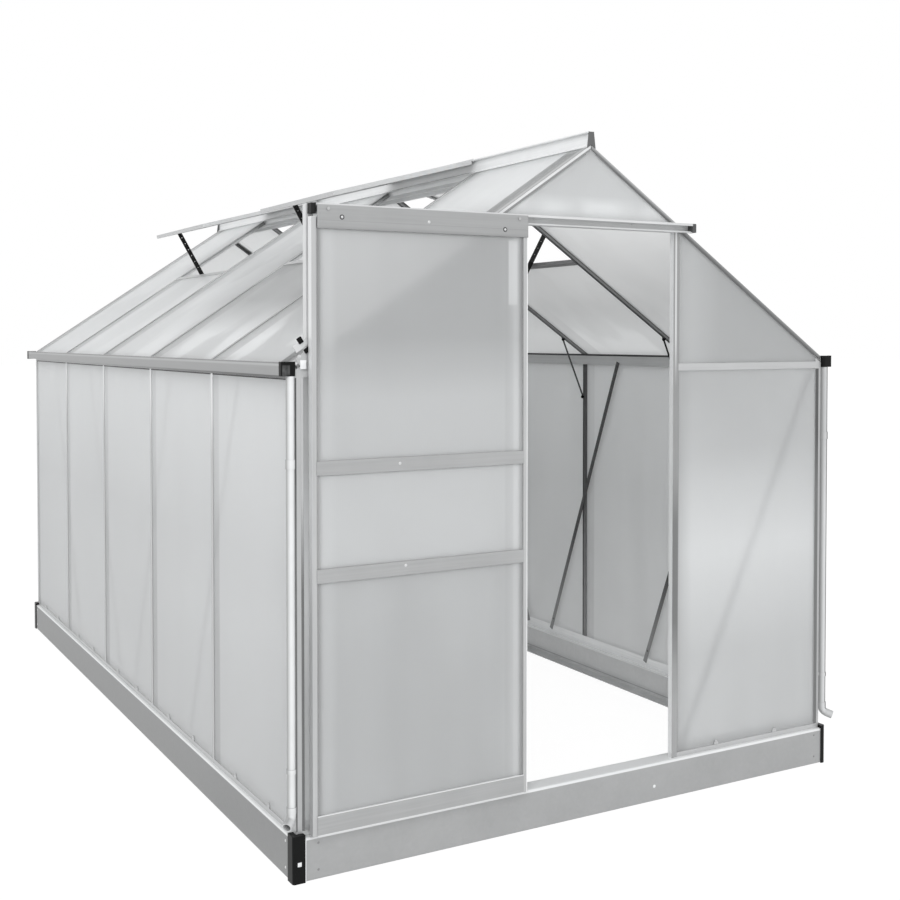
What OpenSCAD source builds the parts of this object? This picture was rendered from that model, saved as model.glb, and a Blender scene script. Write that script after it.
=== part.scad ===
// Walk-in greenhouse: aluminium glazing bars and twin-wall polycarbonate panels on a
// galvanised steel base, with a sliding door in the front gable and hinged roof vents.
// Front gable faces -Y, the ridge runs along Y, +Z is up, the base stands on z = 0.

/* [Base] */
// Width over the steel base, left to right
base_w = 1900; // [1750:10:2200]
// Length of the steel base, front to rear
base_l = 3120; // [2600:10:3800]
// Height of the base channel
base_h = 115; // [90:1:160]
// Depth of the base channel's top and bottom flanges
base_flange = 55; // [45:1:80]
// Thickness of the base steel
base_t = 2; // [1.2:0.1:3]
// Outer radius of the base channel's folds
base_fold = 6; // [4:0.5:8]
// Length of each corner cap's legs
cap_leg = 32; // [24:1:45]
// Leg of the right corner caps on the gable faces
cap_leg_short = 14; // [12:1:32]
// Wall of the corner caps
cap_t = 3; // [2:0.1:4]
// Radius of the corner caps' outer corner
cap_round = 7; // [3:0.5:9]
// Height of the corner caps above the base
cap_rise = 9; // [4:1:12]
// Side of the square hole in each corner cap
cap_hole = 12; // [8:1:16]
// Height of the square holes' middle
cap_hole_z = 50; // [30:1:70]

/* [House] */
// Number of glazed bays along each side
side_bays = 5; // [3:1:6]
// Height of the roof surface over the side walls
eave_h = 1337; // [1250:1:1500]
// Pitch of the roof in degrees
roof_pitch = 33.5; // [30:0.5:37]
// Distance of the wall faces behind the base faces
wall_inset = 12; // [8:1:16]
// Drop of the gable rails' middle below the eave
gable_rail_drop = 27; // [19:1:60]
// Face width of the gable rails
gable_rail_cap = 22; // [16:1:26]
// Height of the sill rails' inner flange
sill_h = 35; // [28:1:50]
// Height of the lips that hold the wall panels top and bottom
lip_h = 14; // [10:1:18]

/* [Profiles] */
// Wall thickness of the aluminium profiles
skin = 1.8; // [1.4:0.1:2.4]
// Thickness of the twin-wall panels
panel_t = 4; // [4:0.5:6]
// Side clearance of the panels in their grooves
panel_gap = 1; // [0.5:0.1:2]
// Width of a glazing bar's outer cap
bar_cap = 16; // [14:1:22]
// Width of a glazing bar's inner seat
bar_seat = 18; // [16:1:32]
// Width of the bolt channel behind each bar
slot_w = 14; // [12:1:18]
// Depth of the bolt channel
slot_d = 9; // [8:0.5:12]
// Width of the bolt channel's mouth
slot_mouth = 7; // [5:0.5:8]
// Leg of the corner posts
post_leg = 24; // [22:1:30]
// Face height of the gable rafters
rafter_face = 10; // [9:1:14]
// Width of the gable rafters' top plate
rafter_top = 42; // [24:1:50]

/* [Eave and ridge] */
// Depth of the eave beams
beam_h = 28; // [26:1:60]
// Drop of the eave beams' bolting flange
beam_drop = 20; // [16:1:36]
// Width of the gutters
gutter_w = 38; // [34:1:60]
// Height of the gutters
gutter_h = 34; // [28:1:40]
// Width of the curl along the gutters' rim
gutter_curl = 6; // [4:1:10]
// Height of the gutter rim above the eave
gutter_rim = 2; // [0:1:6]
// Height of the ridge crest above the roof surfaces' meeting line
crest_h = 38; // [32:1:50]
// Half width of the ridge crest
crest_half = 9; // [8:0.5:14]
// Radius of the hinge bead along each edge of the crest
bead_r = 3; // [2.5:0.1:3.5]
// Outer radius of the downpipes
pipe_r = 11; // [9:0.5:14]
// Wall of the downpipes
pipe_t = 1.5; // [1.2:0.1:2]

/* [Vents] */
// Length of a vent from its hinge to its free edge
vent_l = 538; // [420:1:560]
// Angle of the open vents below level
vent_tilt = 14.5; // [8:1:18]
// Distance of the vent sills from the ridge, along the slope
vent_drop = 515; // [430:5:560]
// Width of the vents' frame rails
vent_rail = 24; // [20:1:32]
// Width of the vent stays
stay_w = 18; // [14:1:22]
// Distance of the stays from the vents' middle
stay_shift = 36; // [0:1:80]
// Length of the stays' ends inside the roof
stay_tail = 45; // [20:1:60]
// Thickness of the vent stays
stay_t = 4; // [3:0.5:6]
// Number of adjusting holes in each stay
stay_holes = 6; // [3:1:8]
// Radius of the adjusting holes
stay_hole_r = 2; // [1.5:0.5:4]

/* [Doorway and door] */
// Clear width between the door jambs
doorway_w = 624; // [560:2:640]
// Width of the jambs
jamb_w = 21; // [20:1:30]
// Drop of the header's upper corners below the roof surface
header_drop = 7.4; // [6:0.1:30]
// Height of the track
track_h = 27; // [25:1:30]
// Space between the track and the door's hanger plate
track_clear = 5; // [4:0.5:8]
// Distance of the track's left end from the left wall's face
track_inset = 51; // [40:1:70]
// Length of the track past the right jamb
track_past = 33; // [20:1:60]
// Lap of the closed door over each side of the doorway
door_lap = 19; // [15:0.5:28]
// Reach of the open door's stile past the track's left end
door_past = 16; // [10:1:24]
// Thickness of the door frame
door_t = 20; // [16:1:24]
// Gap between the door and the wall
door_gap = 9; // [7:1:12]
// Gap under the door
door_lift = 5; // [5:1:10]
// Width of the door stiles with their panel seats
stile_w = 26; // [22:1:34]
// Height of the door's bottom rail
kick_h = 52; // [40:1:70]
// Height of the door's cross rails
cross_h = 36; // [30:1:44]
// Height of the lower cross rail's middle
cross_low_z = 790; // [700:5:860]
// Height of the upper cross rail's middle
cross_high_z = 1067; // [960:1:1200]
// Height of the door's hanger plate
hanger_h = 64; // [56:1:70]
// Thickness of the door's face plates
plate_t = 2.5; // [2:0.1:3]
// Distance of the rollers from the door's edges
roller_inset = 30; // [24:1:100]
// Height of the roller bolts' heads
bolt_head = 3; // [2:0.5:4]

/* [Braces] */
// Width of the diagonal braces
brace_w = 18; // [14:1:24]
// Thickness of the braces
brace_t = 2; // [2:0.1:4]
// Sideways run of a diagonal brace on each side of its bar
brace_run = 225; // [180:5:250]
// Width of the knee braces
knee_w = 6; // [5:1:20]
// Length of a knee brace's foot below the eave
knee_drop = 195; // [150:5:230]
// Reach of a knee brace along the roof bar
knee_reach = 140; // [120:5:240]

/* [Hidden] */
$fn = 48;
groove = skin + panel_t;              // depth of the far side of a panel groove
seat_d = groove + skin;               // depth of the back of a bar's seat
bar_d = seat_d + slot_d;              // full depth of a bar
web_t = 4;                            // web between a bar's cap and seat
foot_d = bar_d + 2 * skin + 14;       // depth of the sill rails
wall_x = base_w / 2 - wall_inset;     // outer face of the side walls
door_depth = door_gap + door_t + plate_t + bolt_head;
front_reach = door_depth - wall_inset - cap_t;   // door in front of the corner caps
front_y = -base_l / 2 + wall_inset + front_reach / 2;     // outer face of the front gable
rear_y = base_l / 2 - wall_inset + front_reach / 2;       // outer face of the rear gable
mid_y = (front_y + rear_y) / 2;
bay_l = (rear_y - front_y) / side_bays;
ridge_z = eave_h + wall_x * tan(roof_pitch);
slope_l = wall_x / cos(roof_pitch);
ridge_t = 3;                          // web of the ridge beam
wing_top = 12;                        // ridge wing over the panels
sheet_top = 6;                        // roof panels' end below the ridge line
ridge_drop = 48;                      // ridge web's foot below the ridge line
beam_top = 28;                        // width of the eave beams' sloping top plate
rafter_seat = 16;                     // width of the gable rafters' panel seat
wing_low = 40;                        // ridge wing under the bars
wall_top = eave_h - beam_h;           // underside of the eave beams
gable_rail_z = eave_h - gable_rail_drop;
bars_at = [for (k = [1 : side_bays - 1]) front_y + k * bay_l];
vent_bays = [for (k = [2 : 2 : side_bays]) k];
jamb_x = doorway_w / 2 + jamb_w;      // outer side of the jambs
rear_post_x = doorway_w / 2 + jamb_w / 2;
track_z = roof_z(doorway_w / 2) - header_drop - track_h;   // underside of the track
track_d = door_gap + door_t - track_clear;
track_left = wall_x - track_inset;
track_right = jamb_x + track_past;
post_w = 20;                          // side of the track's post
post_x = track_left + 18;             // outer side of the track's post
bracket_w = 26;                       // strip that ties the post's foot down
bracket_t = 3;
door_w = doorway_w + 2 * door_lap;
door_open_x = track_left + door_past;
jamb_box = 14;                        // box part of a jamb, sill or header profile
bead_z = ridge_z + crest_h - skin / 2;
socket_gap = 0.3;
gutter_end = 4;                       // trough's end behind the gable plane
end_cap_l = 20;                       // length of a gutter end cap
end_cap_t = 2;
end_cap_round = 8;                    // end cap's rounded corners
end_cap_out = 12;                     // end cap's face in front of the gable plane
pipe_x = wall_x + pipe_r + 2.5;       // pipe's axis beside the wall
pipe_y = -2;                          // pipe's axis in front of the gable plane
pipe_bore = pipe_r - pipe_t;
pipe_foot = base_h + 68;
collar_h = 16;                        // elbow's collar round the pipe
joint_drop = 212;                     // pipe coupling below the gutter
clip_z = base_h + 170;
elbow_r = 20;
elbow_a = 70;
spout_l = 20;
spout_turn = 45;                      // spout's turn from the side to the front
door_y = front_y - door_gap;          // back of the door frame
face_y = door_y - door_t;             // front of the door frame
door_bottom = base_h + door_lift;
door_top = track_z - 8;
wheel_r = 7.5;
wheel_flange = 1.7;
wheel_w = 8;
bolt_r = 4.5;                         // roller bolts' heads
rib_h = 3;
rib_at = track_d / 2 + 1;             // rib's distance from the wall
wheel_z = track_z + skin + rib_h + 0.3 + wheel_r;
track_cap_t = 14;

// ---------------------------------------------------------------- profiles

// Glazing bar: outer cap, web, inner seat and bolt channel. Outer face on y = 0.
module bar_section(cap = bar_cap) {
    translate([-cap / 2, 0]) square([cap, skin]);
    translate([-web_t / 2, 0]) square([web_t, seat_d]);
    translate([-bar_seat / 2, groove]) square([bar_seat, skin]);
    difference() {
        translate([-slot_w / 2, groove]) square([slot_w, skin + slot_d]);
        translate([-slot_w / 2 + skin, seat_d]) square([slot_w - 2 * skin, slot_d - skin]);
        translate([-slot_mouth / 2, seat_d]) square([slot_mouth, slot_d + 1]);
    }
}

// Edge profile: a box with a panel groove on one side only, used where glazing ends.
module edge_section(w = jamb_w) {
    difference() {
        square([jamb_box, bar_d]);
        translate([skin, skin]) square([jamb_box - 2 * skin, bar_d - 2 * skin]);
    }
    square([w, skin]);
    translate([0, groove]) square([w, skin]);
}

// Sill rail seen from its end: wall's outer face at x = 0, base top at y = 0.
module sill_section() {
    square([foot_d, skin]);
    square([skin, lip_h]);
    translate([groove, 0]) square([skin, lip_h - 4]);
    translate([bar_d, 0]) square([skin, sill_h]);
}

// Steel base channel seen from its end: outer face at x = 0.
module channel_section() {
    translate([0, base_fold]) square([base_t, base_h - 2 * base_fold]);
    translate([0, base_h / 2]) for (m = [0, 1]) mirror([0, m]) translate([0, -base_h / 2]) {
        translate([base_fold, 0]) square([base_flange - base_fold, base_t]);
        intersection() {
            translate([base_fold, base_fold]) ring(base_fold, base_fold - base_t);
            square(base_fold);
        }
    }
}

module corner_post_section() {
    square([post_leg, skin]);
    square([skin, post_leg]);
    square(seat_d);
    translate([groove, groove]) square([post_leg - groove, skin]);
    translate([groove, groove]) square([skin, post_leg - groove]);
    difference() {
        translate([groove, groove]) square(skin + slot_d);
        translate([seat_d, seat_d]) square(slot_d - skin);
    }
}

// Eave beam seen from the front on the left side: wall's outer face at x = 0, inward +x,
// roof surface passing through the origin.
module eave_beam_section() {
    seat_rise = bar_d * tan(roof_pitch);
    mid_drop = (bar_d + skin / 2) / cos(roof_pitch);
    translate([0, -beam_h]) square([bar_d + skin, skin]);
    translate([0, -beam_h - lip_h]) square([skin, beam_h + lip_h - mid_drop]);
    translate([groove, -beam_h - lip_h + 4]) square([skin, lip_h - 4 + skin]);
    translate([bar_d, -beam_h - beam_drop])
        square([skin, beam_h + beam_drop - mid_drop + seat_rise]);
    rotate(roof_pitch) translate([-seat_rise, -bar_d - skin]) square([beam_top, skin]);
}

// Gutter's front seen from its end on the left side: wall's face at x = 0, eave at y = 0.
module gutter_front_section() {
    translate([-gutter_w, gutter_rim - gutter_h]) {
        square([skin, gutter_h]);
        translate([0, gutter_h - skin]) square([gutter_curl, skin]);
    }
}

module gutter_floor_section() {
    translate([-gutter_w + skin, gutter_rim - gutter_h]) square([gutter_w - skin, skin]);
}

module ridge_upper_section() {
    translate([-ridge_t / 2, 0]) square([ridge_t, crest_h]);
    translate([-crest_half, crest_h - skin]) square([2 * crest_half, skin]);
    for (m = [0, 1]) mirror([m, 0]) {
        rotate(-roof_pitch) square([wing_top, skin]);
        translate([crest_half, crest_h - skin / 2]) circle(bead_r);
    }
}

module ridge_lower_section() {
    translate([-ridge_t / 2, -ridge_drop]) square([ridge_t, ridge_drop + skin]);
    for (m = [0, 1]) mirror([m, 0])
        rotate(-roof_pitch) translate([bar_d * tan(roof_pitch), -bar_d - skin])
            square([wing_low, skin]);
}

// Gable rafter seen along the slope: front face at x = 0, roof surface at y = 0.
module rafter_section() {
    translate([0, -skin]) square([rafter_top, skin]);
    translate([0, -rafter_face]) square([skin, rafter_face]);
    translate([groove, -bar_d]) square([skin, bar_d]);
    translate([groove, -seat_d]) square([rafter_seat, skin]);
}

// Door track seen from its end: wall at x = 0, forward +x, underside at y = 0.
module track_section() {
    square([skin, track_h]);
    translate([0, track_h - skin]) square([track_d, skin]);
    translate([track_d - skin, track_h - 7]) square([skin, 7]);
    square([track_d - 3, skin]);
    translate([rib_at - 1, 0]) square([2, skin + rib_h]);
}

// ---------------------------------------------------------------- placing

// Height of the surface that lies d below the roof, measured square to it
function roof_z(x, d = 0) =
    eave_h + (wall_x - abs(x)) * tan(roof_pitch) - d / cos(roof_pitch);

module both_sides() {
    for (m = [0, 1]) mirror([m, 0, 0]) children();
}

module both_ends() {
    for (m = [0, 1]) translate([0, mid_y, 0]) mirror([0, m, 0]) translate([0, -mid_y, 0])
        children();
}

// Stands children on the left wall: their -y face looks left, their +x runs to the front.
module on_left_wall() {
    translate([-wall_x, 0, 0]) rotate([0, 0, -90]) children();
}

// Lays children on the left slope: +z runs up the slope from the eave, -y faces the sky.
module on_left_slope() {
    translate([-wall_x, 0, eave_h]) rotate([0, 90 - roof_pitch, 0]) rotate([0, 0, -90])
        children();
}

// Runs a section drawn in XZ from y0 to y1
module along_y(y0, y1) {
    translate([0, y1, 0]) rotate([90, 0, 0]) linear_extrude(y1 - y0) children();
}

// Runs a section from x0 to x1, its +x turned to +Y and its +y to +Z
module along_x(x0, x1) {
    translate([x0, 0, 0]) rotate([90, 0, 90]) linear_extrude(x1 - x0) children();
}

// Everything below the surface that lies d under the roof
module under_roof(d) {
    along_y(front_y - 100, rear_y + 100)
        polygon([[-wall_x, 0], [-wall_x, roof_z(wall_x, d)], [0, roof_z(0, d)],
            [wall_x, roof_z(wall_x, d)], [wall_x, 0]]);
}

// Wedge that mitres a rail of the left side or, turned, of the front
module left_mitre(x, y0, y1, reach) {
    linear_extrude(base_h + sill_h)
        polygon([[-x, y0], [-x + reach, y0 + reach], [-x + reach, y1 - reach], [-x, y1]]);
}

module front_mitre(x, y0, reach) {
    linear_extrude(base_h + sill_h)
        polygon([[-x, y0], [x, y0], [x - reach, y0 + reach], [-x + reach, y0 + reach]]);
}

// Flat strip between two points of an XZ plane
module strip(p, q, w) {
    run = q - p;
    translate(p) rotate(atan2(run[1], run[0])) translate([0, -w / 2]) square([norm(run), w]);
}

// ---------------------------------------------------------------- base

module base_ends() {
    color([0.64, 0.65, 0.64]) both_ends() intersection() {
        translate([0, front_y - wall_inset, 0]) along_x(-base_w / 2, base_w / 2)
            channel_section();
        front_mitre(base_w / 2, front_y - wall_inset, base_flange);
    }
}

module base_sides() {
    color([0.64, 0.65, 0.64]) both_sides() intersection() {
        translate([-base_w / 2, 0, 0])
            along_y(front_y - wall_inset, rear_y + wall_inset) channel_section();
        left_mitre(base_w / 2, front_y - wall_inset, rear_y + wall_inset, base_flange);
    }
}

// Outline of a corner cap with its inner corner inset from the base's faces
module cap_outline(inset, front_leg) {
    side = cap_leg + cap_t;
    difference() {
        union() {
            translate([cap_round, 0]) square([side - cap_round, side]);
            translate([0, cap_round]) square([side, side - cap_round]);
            translate([cap_round, cap_round]) circle(cap_round);
        }
        translate([cap_t + inset, cap_t + inset]) square(cap_leg + 1);
        translate([cap_t + front_leg, -1]) square([cap_leg, cap_t + inset + 1]);
    }
}

// The caps on the right have short legs on the gable faces and no hole.
module base_corner_caps() {
    color([0.07, 0.07, 0.07]) for (right = [0, 1]) mirror([right, 0, 0]) both_ends()
        translate([-base_w / 2 - cap_t, front_y - wall_inset - cap_t, 0]) {
            leg = right ? cap_leg_short : cap_leg;
            difference() {
                linear_extrude(base_h) cap_outline(0, leg);
                if (!right)
                    translate([cap_t + (cap_leg - cap_hole) / 2, -1, cap_hole_z - cap_hole / 2])
                        cube([cap_hole, cap_t + 2, cap_hole]);
            }
            translate([0, 0, base_h]) linear_extrude(cap_rise) cap_outline(wall_inset, leg);
        }
}

// ---------------------------------------------------------------- wall frame

module side_sills() {
    color([0.72, 0.73, 0.74]) both_sides() intersection() {
        translate([-wall_x, 0, base_h]) along_y(front_y, rear_y) sill_section();
        left_mitre(wall_x, front_y, rear_y, foot_d);
    }
}

module end_sills() {
    color([0.72, 0.73, 0.74]) {
        both_sides() intersection() {
            translate([0, front_y, base_h]) along_x(-wall_x, -jamb_x) sill_section();
            front_mitre(wall_x, front_y, foot_d);
        }
        translate([0, 2 * mid_y, 0]) mirror([0, 1, 0]) intersection() {
            translate([0, front_y, base_h]) along_x(-wall_x, wall_x) sill_section();
            front_mitre(wall_x, front_y, foot_d);
        }
    }
}

module corner_posts() {
    color([0.72, 0.73, 0.74]) both_sides() both_ends() intersection() {
        translate([-wall_x, front_y, base_h + lip_h]) linear_extrude(eave_h)
            corner_post_section();
        under_roof(bar_d);
    }
}

module left_wall_bars() {
    color([0.72, 0.73, 0.74]) on_left_wall() for (y = bars_at)
        translate([-y, 0, base_h + lip_h])
            linear_extrude(wall_top - base_h - 2 * lip_h) bar_section();
}

module right_wall_bars() {
    mirror([1, 0, 0]) left_wall_bars();
}

module front_jambs() {
    color([0.72, 0.73, 0.74]) both_sides() intersection() {
        translate([doorway_w / 2, front_y, base_h]) linear_extrude(ridge_z)
            edge_section();
        under_roof(bar_d);
    }
}

module rear_posts() {
    color([0.72, 0.73, 0.74]) both_sides() intersection() {
        translate([rear_post_x, rear_y, base_h + lip_h]) rotate(180)
            linear_extrude(ridge_z) bar_section();
        under_roof(bar_d);
    }
}

module rail_between(x0, x1) {
    translate([x0, front_y, gable_rail_z]) rotate([90, 0, 90])
        linear_extrude(x1 - x0) rotate(-90) mirror([1, 0]) bar_section(gable_rail_cap);
}

module gable_rails() {
    inner = wall_x - post_leg;
    color([0.72, 0.73, 0.74]) {
        both_sides() rail_between(jamb_x, inner);
        translate([0, 2 * mid_y, 0]) mirror([0, 1, 0]) {
            rail_between(-rear_post_x + bar_seat / 2, rear_post_x - bar_seat / 2);
            both_sides() rail_between(rear_post_x + bar_seat / 2, inner);
        }
    }
}

module front_header() {
    color([0.72, 0.73, 0.74]) intersection() {
        translate([-doorway_w / 2, front_y, track_z]) rotate([90, 0, 90])
            linear_extrude(doorway_w) rotate(-90) mirror([1, 0]) edge_section(track_h);
        under_roof(bar_d);
    }
}

// ---------------------------------------------------------------- eaves and ridge

module eave_beams() {
    color([0.74, 0.75, 0.76]) both_sides() translate([-wall_x, 0, eave_h])
        along_y(front_y + post_leg, rear_y - post_leg) eave_beam_section();
}

// Runs a gutter section along both eaves
module along_eaves() {
    color([0.76, 0.77, 0.78]) both_sides() translate([-wall_x, 0, eave_h])
        along_y(front_y + gutter_end, rear_y - gutter_end) children();
}

module gutter_fronts() {
    along_eaves() gutter_front_section();
}

module gutter_floors() {
    along_eaves() gutter_floor_section();
}

// Rectangle whose two corners at y = 0 are rounded
module rounded_front(w, l, r) {
    translate([0, r]) square([w, l - r]);
    translate([r, 0]) square([w - 2 * r, l]);
    for (x = [r, w - r]) translate([x, r]) circle(r);
}

// Cup that closes a gutter's end, lapped round the trough and open above.
module gutter_cup() {
    floor_z = eave_h + gutter_rim - gutter_h;
    face_y = front_y - end_cap_out;
    translate([-wall_x - gutter_w, face_y, floor_z]) difference() {
        translate([-end_cap_t, 0, -end_cap_t]) linear_extrude(gutter_h + end_cap_t + 1)
            rounded_front(gutter_w + end_cap_t, end_cap_l, end_cap_round);
        translate([0, end_cap_t, 0]) linear_extrude(gutter_h + 2)
            rounded_front(gutter_w - end_cap_t, end_cap_l, end_cap_round - end_cap_t);
        translate([0, end_cap_out, 0]) cube([gutter_w + 1, end_cap_l, gutter_h + 2]);
    }
}

// The front cups also carry the outlets that the downpipes are pushed over.
module gutter_end_caps() {
    outlet_z = eave_h + gutter_rim - gutter_h - end_cap_t;
    outlet_r = pipe_bore - 0.3;
    color([0.05, 0.05, 0.05]) both_sides() {
        both_ends() gutter_cup();
        translate([-pipe_x, front_y + pipe_y, outlet_z - 12]) cylinder(r = outlet_r, h = 12);
    }
}

// Tube along +z from z0 to z1
module tube(z0, z1, r) {
    translate([0, 0, z0]) cylinder(r = r, h = z1 - z0);
}

module downpipes() {
    pipe_top = eave_h + gutter_rim - gutter_h - end_cap_t - 0.3;
    elbow_bore = pipe_bore + 0.3;
    color([0.9, 0.91, 0.92]) both_sides() translate([-pipe_x, front_y + pipe_y, 0]) {
        difference() {
            union() {
                tube(pipe_foot - 0.5, pipe_foot + collar_h, pipe_r + 1.8);
                tube(pipe_foot, pipe_top, pipe_r);
                tube(pipe_top - joint_drop - 24, pipe_top - joint_drop, pipe_r + 1.6);
                tube(clip_z, clip_z + 12, pipe_r + 1.6);
                translate([0, -pipe_y, clip_z]) cube([pipe_x - wall_x, 8, 12]);
            }
            tube(pipe_foot - 1, eave_h, pipe_bore);
        }
        rotate([0, 0, spout_turn]) translate([-elbow_r, 0, pipe_foot]) {
            rotate([-90, 0, 0]) rotate_extrude(angle = elbow_a)
                translate([elbow_r, 0]) ring(pipe_r + 1.2, elbow_bore);
            rotate([0, elbow_a, 0]) translate([elbow_r, 0, -spout_l])
                linear_extrude(spout_l + 0.5) ring(pipe_r + 1.8, elbow_bore + 0.3);
        }
    }
}

module ring(r_out, r_in) {
    difference() {
        circle(r_out);
        circle(r_in);
    }
}

module ridge_beam() {
    color([0.74, 0.75, 0.76]) translate([0, 0, ridge_z]) {
        along_y(front_y, rear_y) ridge_upper_section();
        along_y(front_y + seat_d, rear_y - seat_d) ridge_lower_section();
    }
}

module ridge_end_plates() {
    color([0.4, 0.41, 0.42]) both_ends() translate([0, front_y, ridge_z]) rotate([90, 0, 0])
        linear_extrude(2) polygon([[0, 0], [15, -15 * tan(roof_pitch)], [crest_half, crest_h],
            [-crest_half, crest_h], [-15, -15 * tan(roof_pitch)]]);
}

// ---------------------------------------------------------------- roof frame

module gable_rafters() {
    color([0.72, 0.73, 0.74]) both_sides() both_ends() intersection() {
        translate([-wall_x, front_y, eave_h]) rotate([0, -roof_pitch, 0])
            along_x(0, slope_l + 20) rafter_section();
        translate([-base_w, front_y - 10, 0])
            cube([base_w - ridge_t / 2, 100, ridge_z + 50]);
    }
}

module left_roof_bars() {
    top_end = slope_l - (bar_d * sin(roof_pitch) + ridge_t / 2 + 1) / cos(roof_pitch);
    color([0.72, 0.73, 0.74]) on_left_slope() for (y = bars_at)
        translate([-y, 0, -6]) linear_extrude(top_end + 6) bar_section();
}

module right_roof_bars() {
    mirror([1, 0, 0]) left_roof_bars();
}

// ---------------------------------------------------------------- door track

module door_track() {
    color([0.7, 0.71, 0.72]) translate([0, front_y, track_z]) mirror([0, 1, 0])
        along_x(-track_left, track_right) track_section();
}

module track_end_caps() {
    color([0.06, 0.06, 0.06]) for (x = [-track_left - track_cap_t, track_right])
        translate([x, front_y - track_d, track_z]) cube([track_cap_t, track_d, track_h]);
}

// Post that carries the track's free end, standing on the left gable rafter
module track_post() {
    color([0.82, 0.83, 0.84]) difference() {
        translate([-post_x, front_y, eave_h]) difference() {
            cube([post_w, post_w, track_z + track_h - eave_h]);
            translate([skin, skin, -1]) cube([post_w - 2 * skin, post_w, track_z]);
        }
        under_roof(0);
    }
}

// Plate along the rafter that ties the post's foot to it
module track_bracket() {
    foot = [-wall_x + 10, eave_h - 2];
    head = [-post_x + post_w + 2, roof_z(post_x) + 9];
    color([0.6, 0.61, 0.62]) translate([0, front_y, 0]) rotate([90, 0, 0])
        linear_extrude(bracket_t) strip(foot, head, bracket_w);
}

// ---------------------------------------------------------------- panels

module clear_plastic() {
    color([0.8, 0.82, 0.82, 0.75]) children();
}

edge_hold = web_t / 2 + panel_gap;    // panel edge from a bar's middle
corner_hold = seat_d + panel_gap;     // panel edge from a corner

function bay_start(k) = front_y + (k == 1 ? corner_hold : (k - 1) * bay_l + edge_hold);
function bay_end(k) =
    k == side_bays ? rear_y - corner_hold : front_y + k * bay_l - edge_hold;

module left_wall_panels() {
    clear_plastic() for (k = [1 : side_bays])
        translate([-wall_x + skin, bay_start(k), base_h + skin])
            cube([panel_t, bay_end(k) - bay_start(k), wall_top - base_h - skin]);
}

module right_wall_panels() {
    mirror([1, 0, 0]) left_wall_panels();
}

module gable_sheet(x0, x1, z0, z1) {
    translate([x0, front_y + skin, z0]) cube([x1 - x0, panel_t, z1 - z0]);
}

side_x = wall_x - corner_hold;
pane_x = doorway_w / 2 + jamb_box + panel_gap;
rail_hold = web_t / 2 + panel_gap;

module front_wall_panels() {
    clear_plastic() both_sides()
        gable_sheet(pane_x, side_x, base_h + skin, gable_rail_z - rail_hold);
}

module front_gable_panels() {
    clear_plastic() intersection() {
        union() {
            both_sides() gable_sheet(pane_x, side_x, gable_rail_z + rail_hold, track_z + 4);
            gable_sheet(-doorway_w / 2, doorway_w / 2, track_z + jamb_box + panel_gap, ridge_z);
        }
        under_roof(skin);
    }
}

module rear_wall_panels() {
    top = gable_rail_z - rail_hold;
    clear_plastic() translate([0, 2 * mid_y, 0]) mirror([0, 1, 0]) {
        gable_sheet(-rear_post_x + edge_hold, rear_post_x - edge_hold, base_h + skin, top);
        both_sides() gable_sheet(rear_post_x + edge_hold, side_x, base_h + skin, top);
    }
}

module rear_gable_panels() {
    low = gable_rail_z + rail_hold;
    clear_plastic() translate([0, 2 * mid_y, 0]) mirror([0, 1, 0]) intersection() {
        union() {
            gable_sheet(-rear_post_x + edge_hold, rear_post_x - edge_hold, low, ridge_z);
            both_sides() gable_sheet(rear_post_x + edge_hold, side_x, low, ridge_z);
        }
        under_roof(skin);
    }
}

function has_vent(k) = len(search(k, vent_bays)) > 0;

module left_roof_panels() {
    clear_plastic() on_left_slope() for (k = [1 : side_bays]) {
        top = has_vent(k) ? slope_l - vent_drop - jamb_box / 2 - panel_gap : slope_l - sheet_top;
        translate([-bay_end(k), skin, -8])
            cube([bay_end(k) - bay_start(k), panel_t, top + 8]);
    }
}

module right_roof_panels() {
    mirror([1, 0, 0]) left_roof_panels();
}

// ---------------------------------------------------------------- vents

// Puts children at the middle of each vent bay, shifted to the rear on the left slope and
// to the front on the right one, because the same vent is turned round for the other slope.
module at_vents(shift = 0) {
    for (right = [0, 1], k = vent_bays) mirror([right, 0, 0])
        translate([0, front_y + (k - 0.5) * bay_l + (right ? -shift : shift), 0])
            children();
}

// Hangs children from the left hinge bead: -x runs down the open vent
module on_open_vent() {
    translate([-crest_half, 0, bead_z]) rotate([0, -vent_tilt, 0]) children();
}

vent_w = bay_l - 12;
vent_start = 8;                       // frame's edge from the hinge
vent_skirt = 15;
vent_lid = 3;                         // frame's top above the hinge

module vent_sills() {
    sill_len = bay_l - bar_seat;
    color([0.72, 0.73, 0.74]) at_vents() on_left_slope()
        translate([-sill_len / 2, 0, slope_l - vent_drop + jamb_box / 2])
            rotate([90, 0, 90]) linear_extrude(sill_len)
                rotate(-90) edge_section();
}

module vent_frames() {
    rail_inner = vent_rail - 8;
    color([0.78, 0.79, 0.8]) at_vents() on_open_vent() {
        along_y(-vent_w / 2, vent_w / 2) difference() {
            union() {
                circle(bead_r + socket_gap + skin);
                translate([-vent_start - skin, -1]) square([vent_start, 2]);
            }
            circle(bead_r + socket_gap);
            translate([0, -2.4]) square([2 * bead_r + 4, 4.8]);
        }
        translate([-vent_l, -vent_w / 2, vent_lid - vent_skirt]) difference() {
            cube([vent_l - vent_start, vent_w, vent_skirt]);
            translate([3, 3, -1])
                cube([vent_l - vent_start - 6, vent_w - 6, vent_skirt - panel_t - 2 * skin + 1]);
            translate([6, 6, vent_skirt - skin - panel_t])
                cube([vent_l - vent_start - 12, vent_w - 12, panel_t]);
            translate([rail_inner, rail_inner, -1])
                cube([vent_l - vent_start - 2 * rail_inner, vent_w - 2 * rail_inner, 30]);
        }
    }
}

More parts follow.
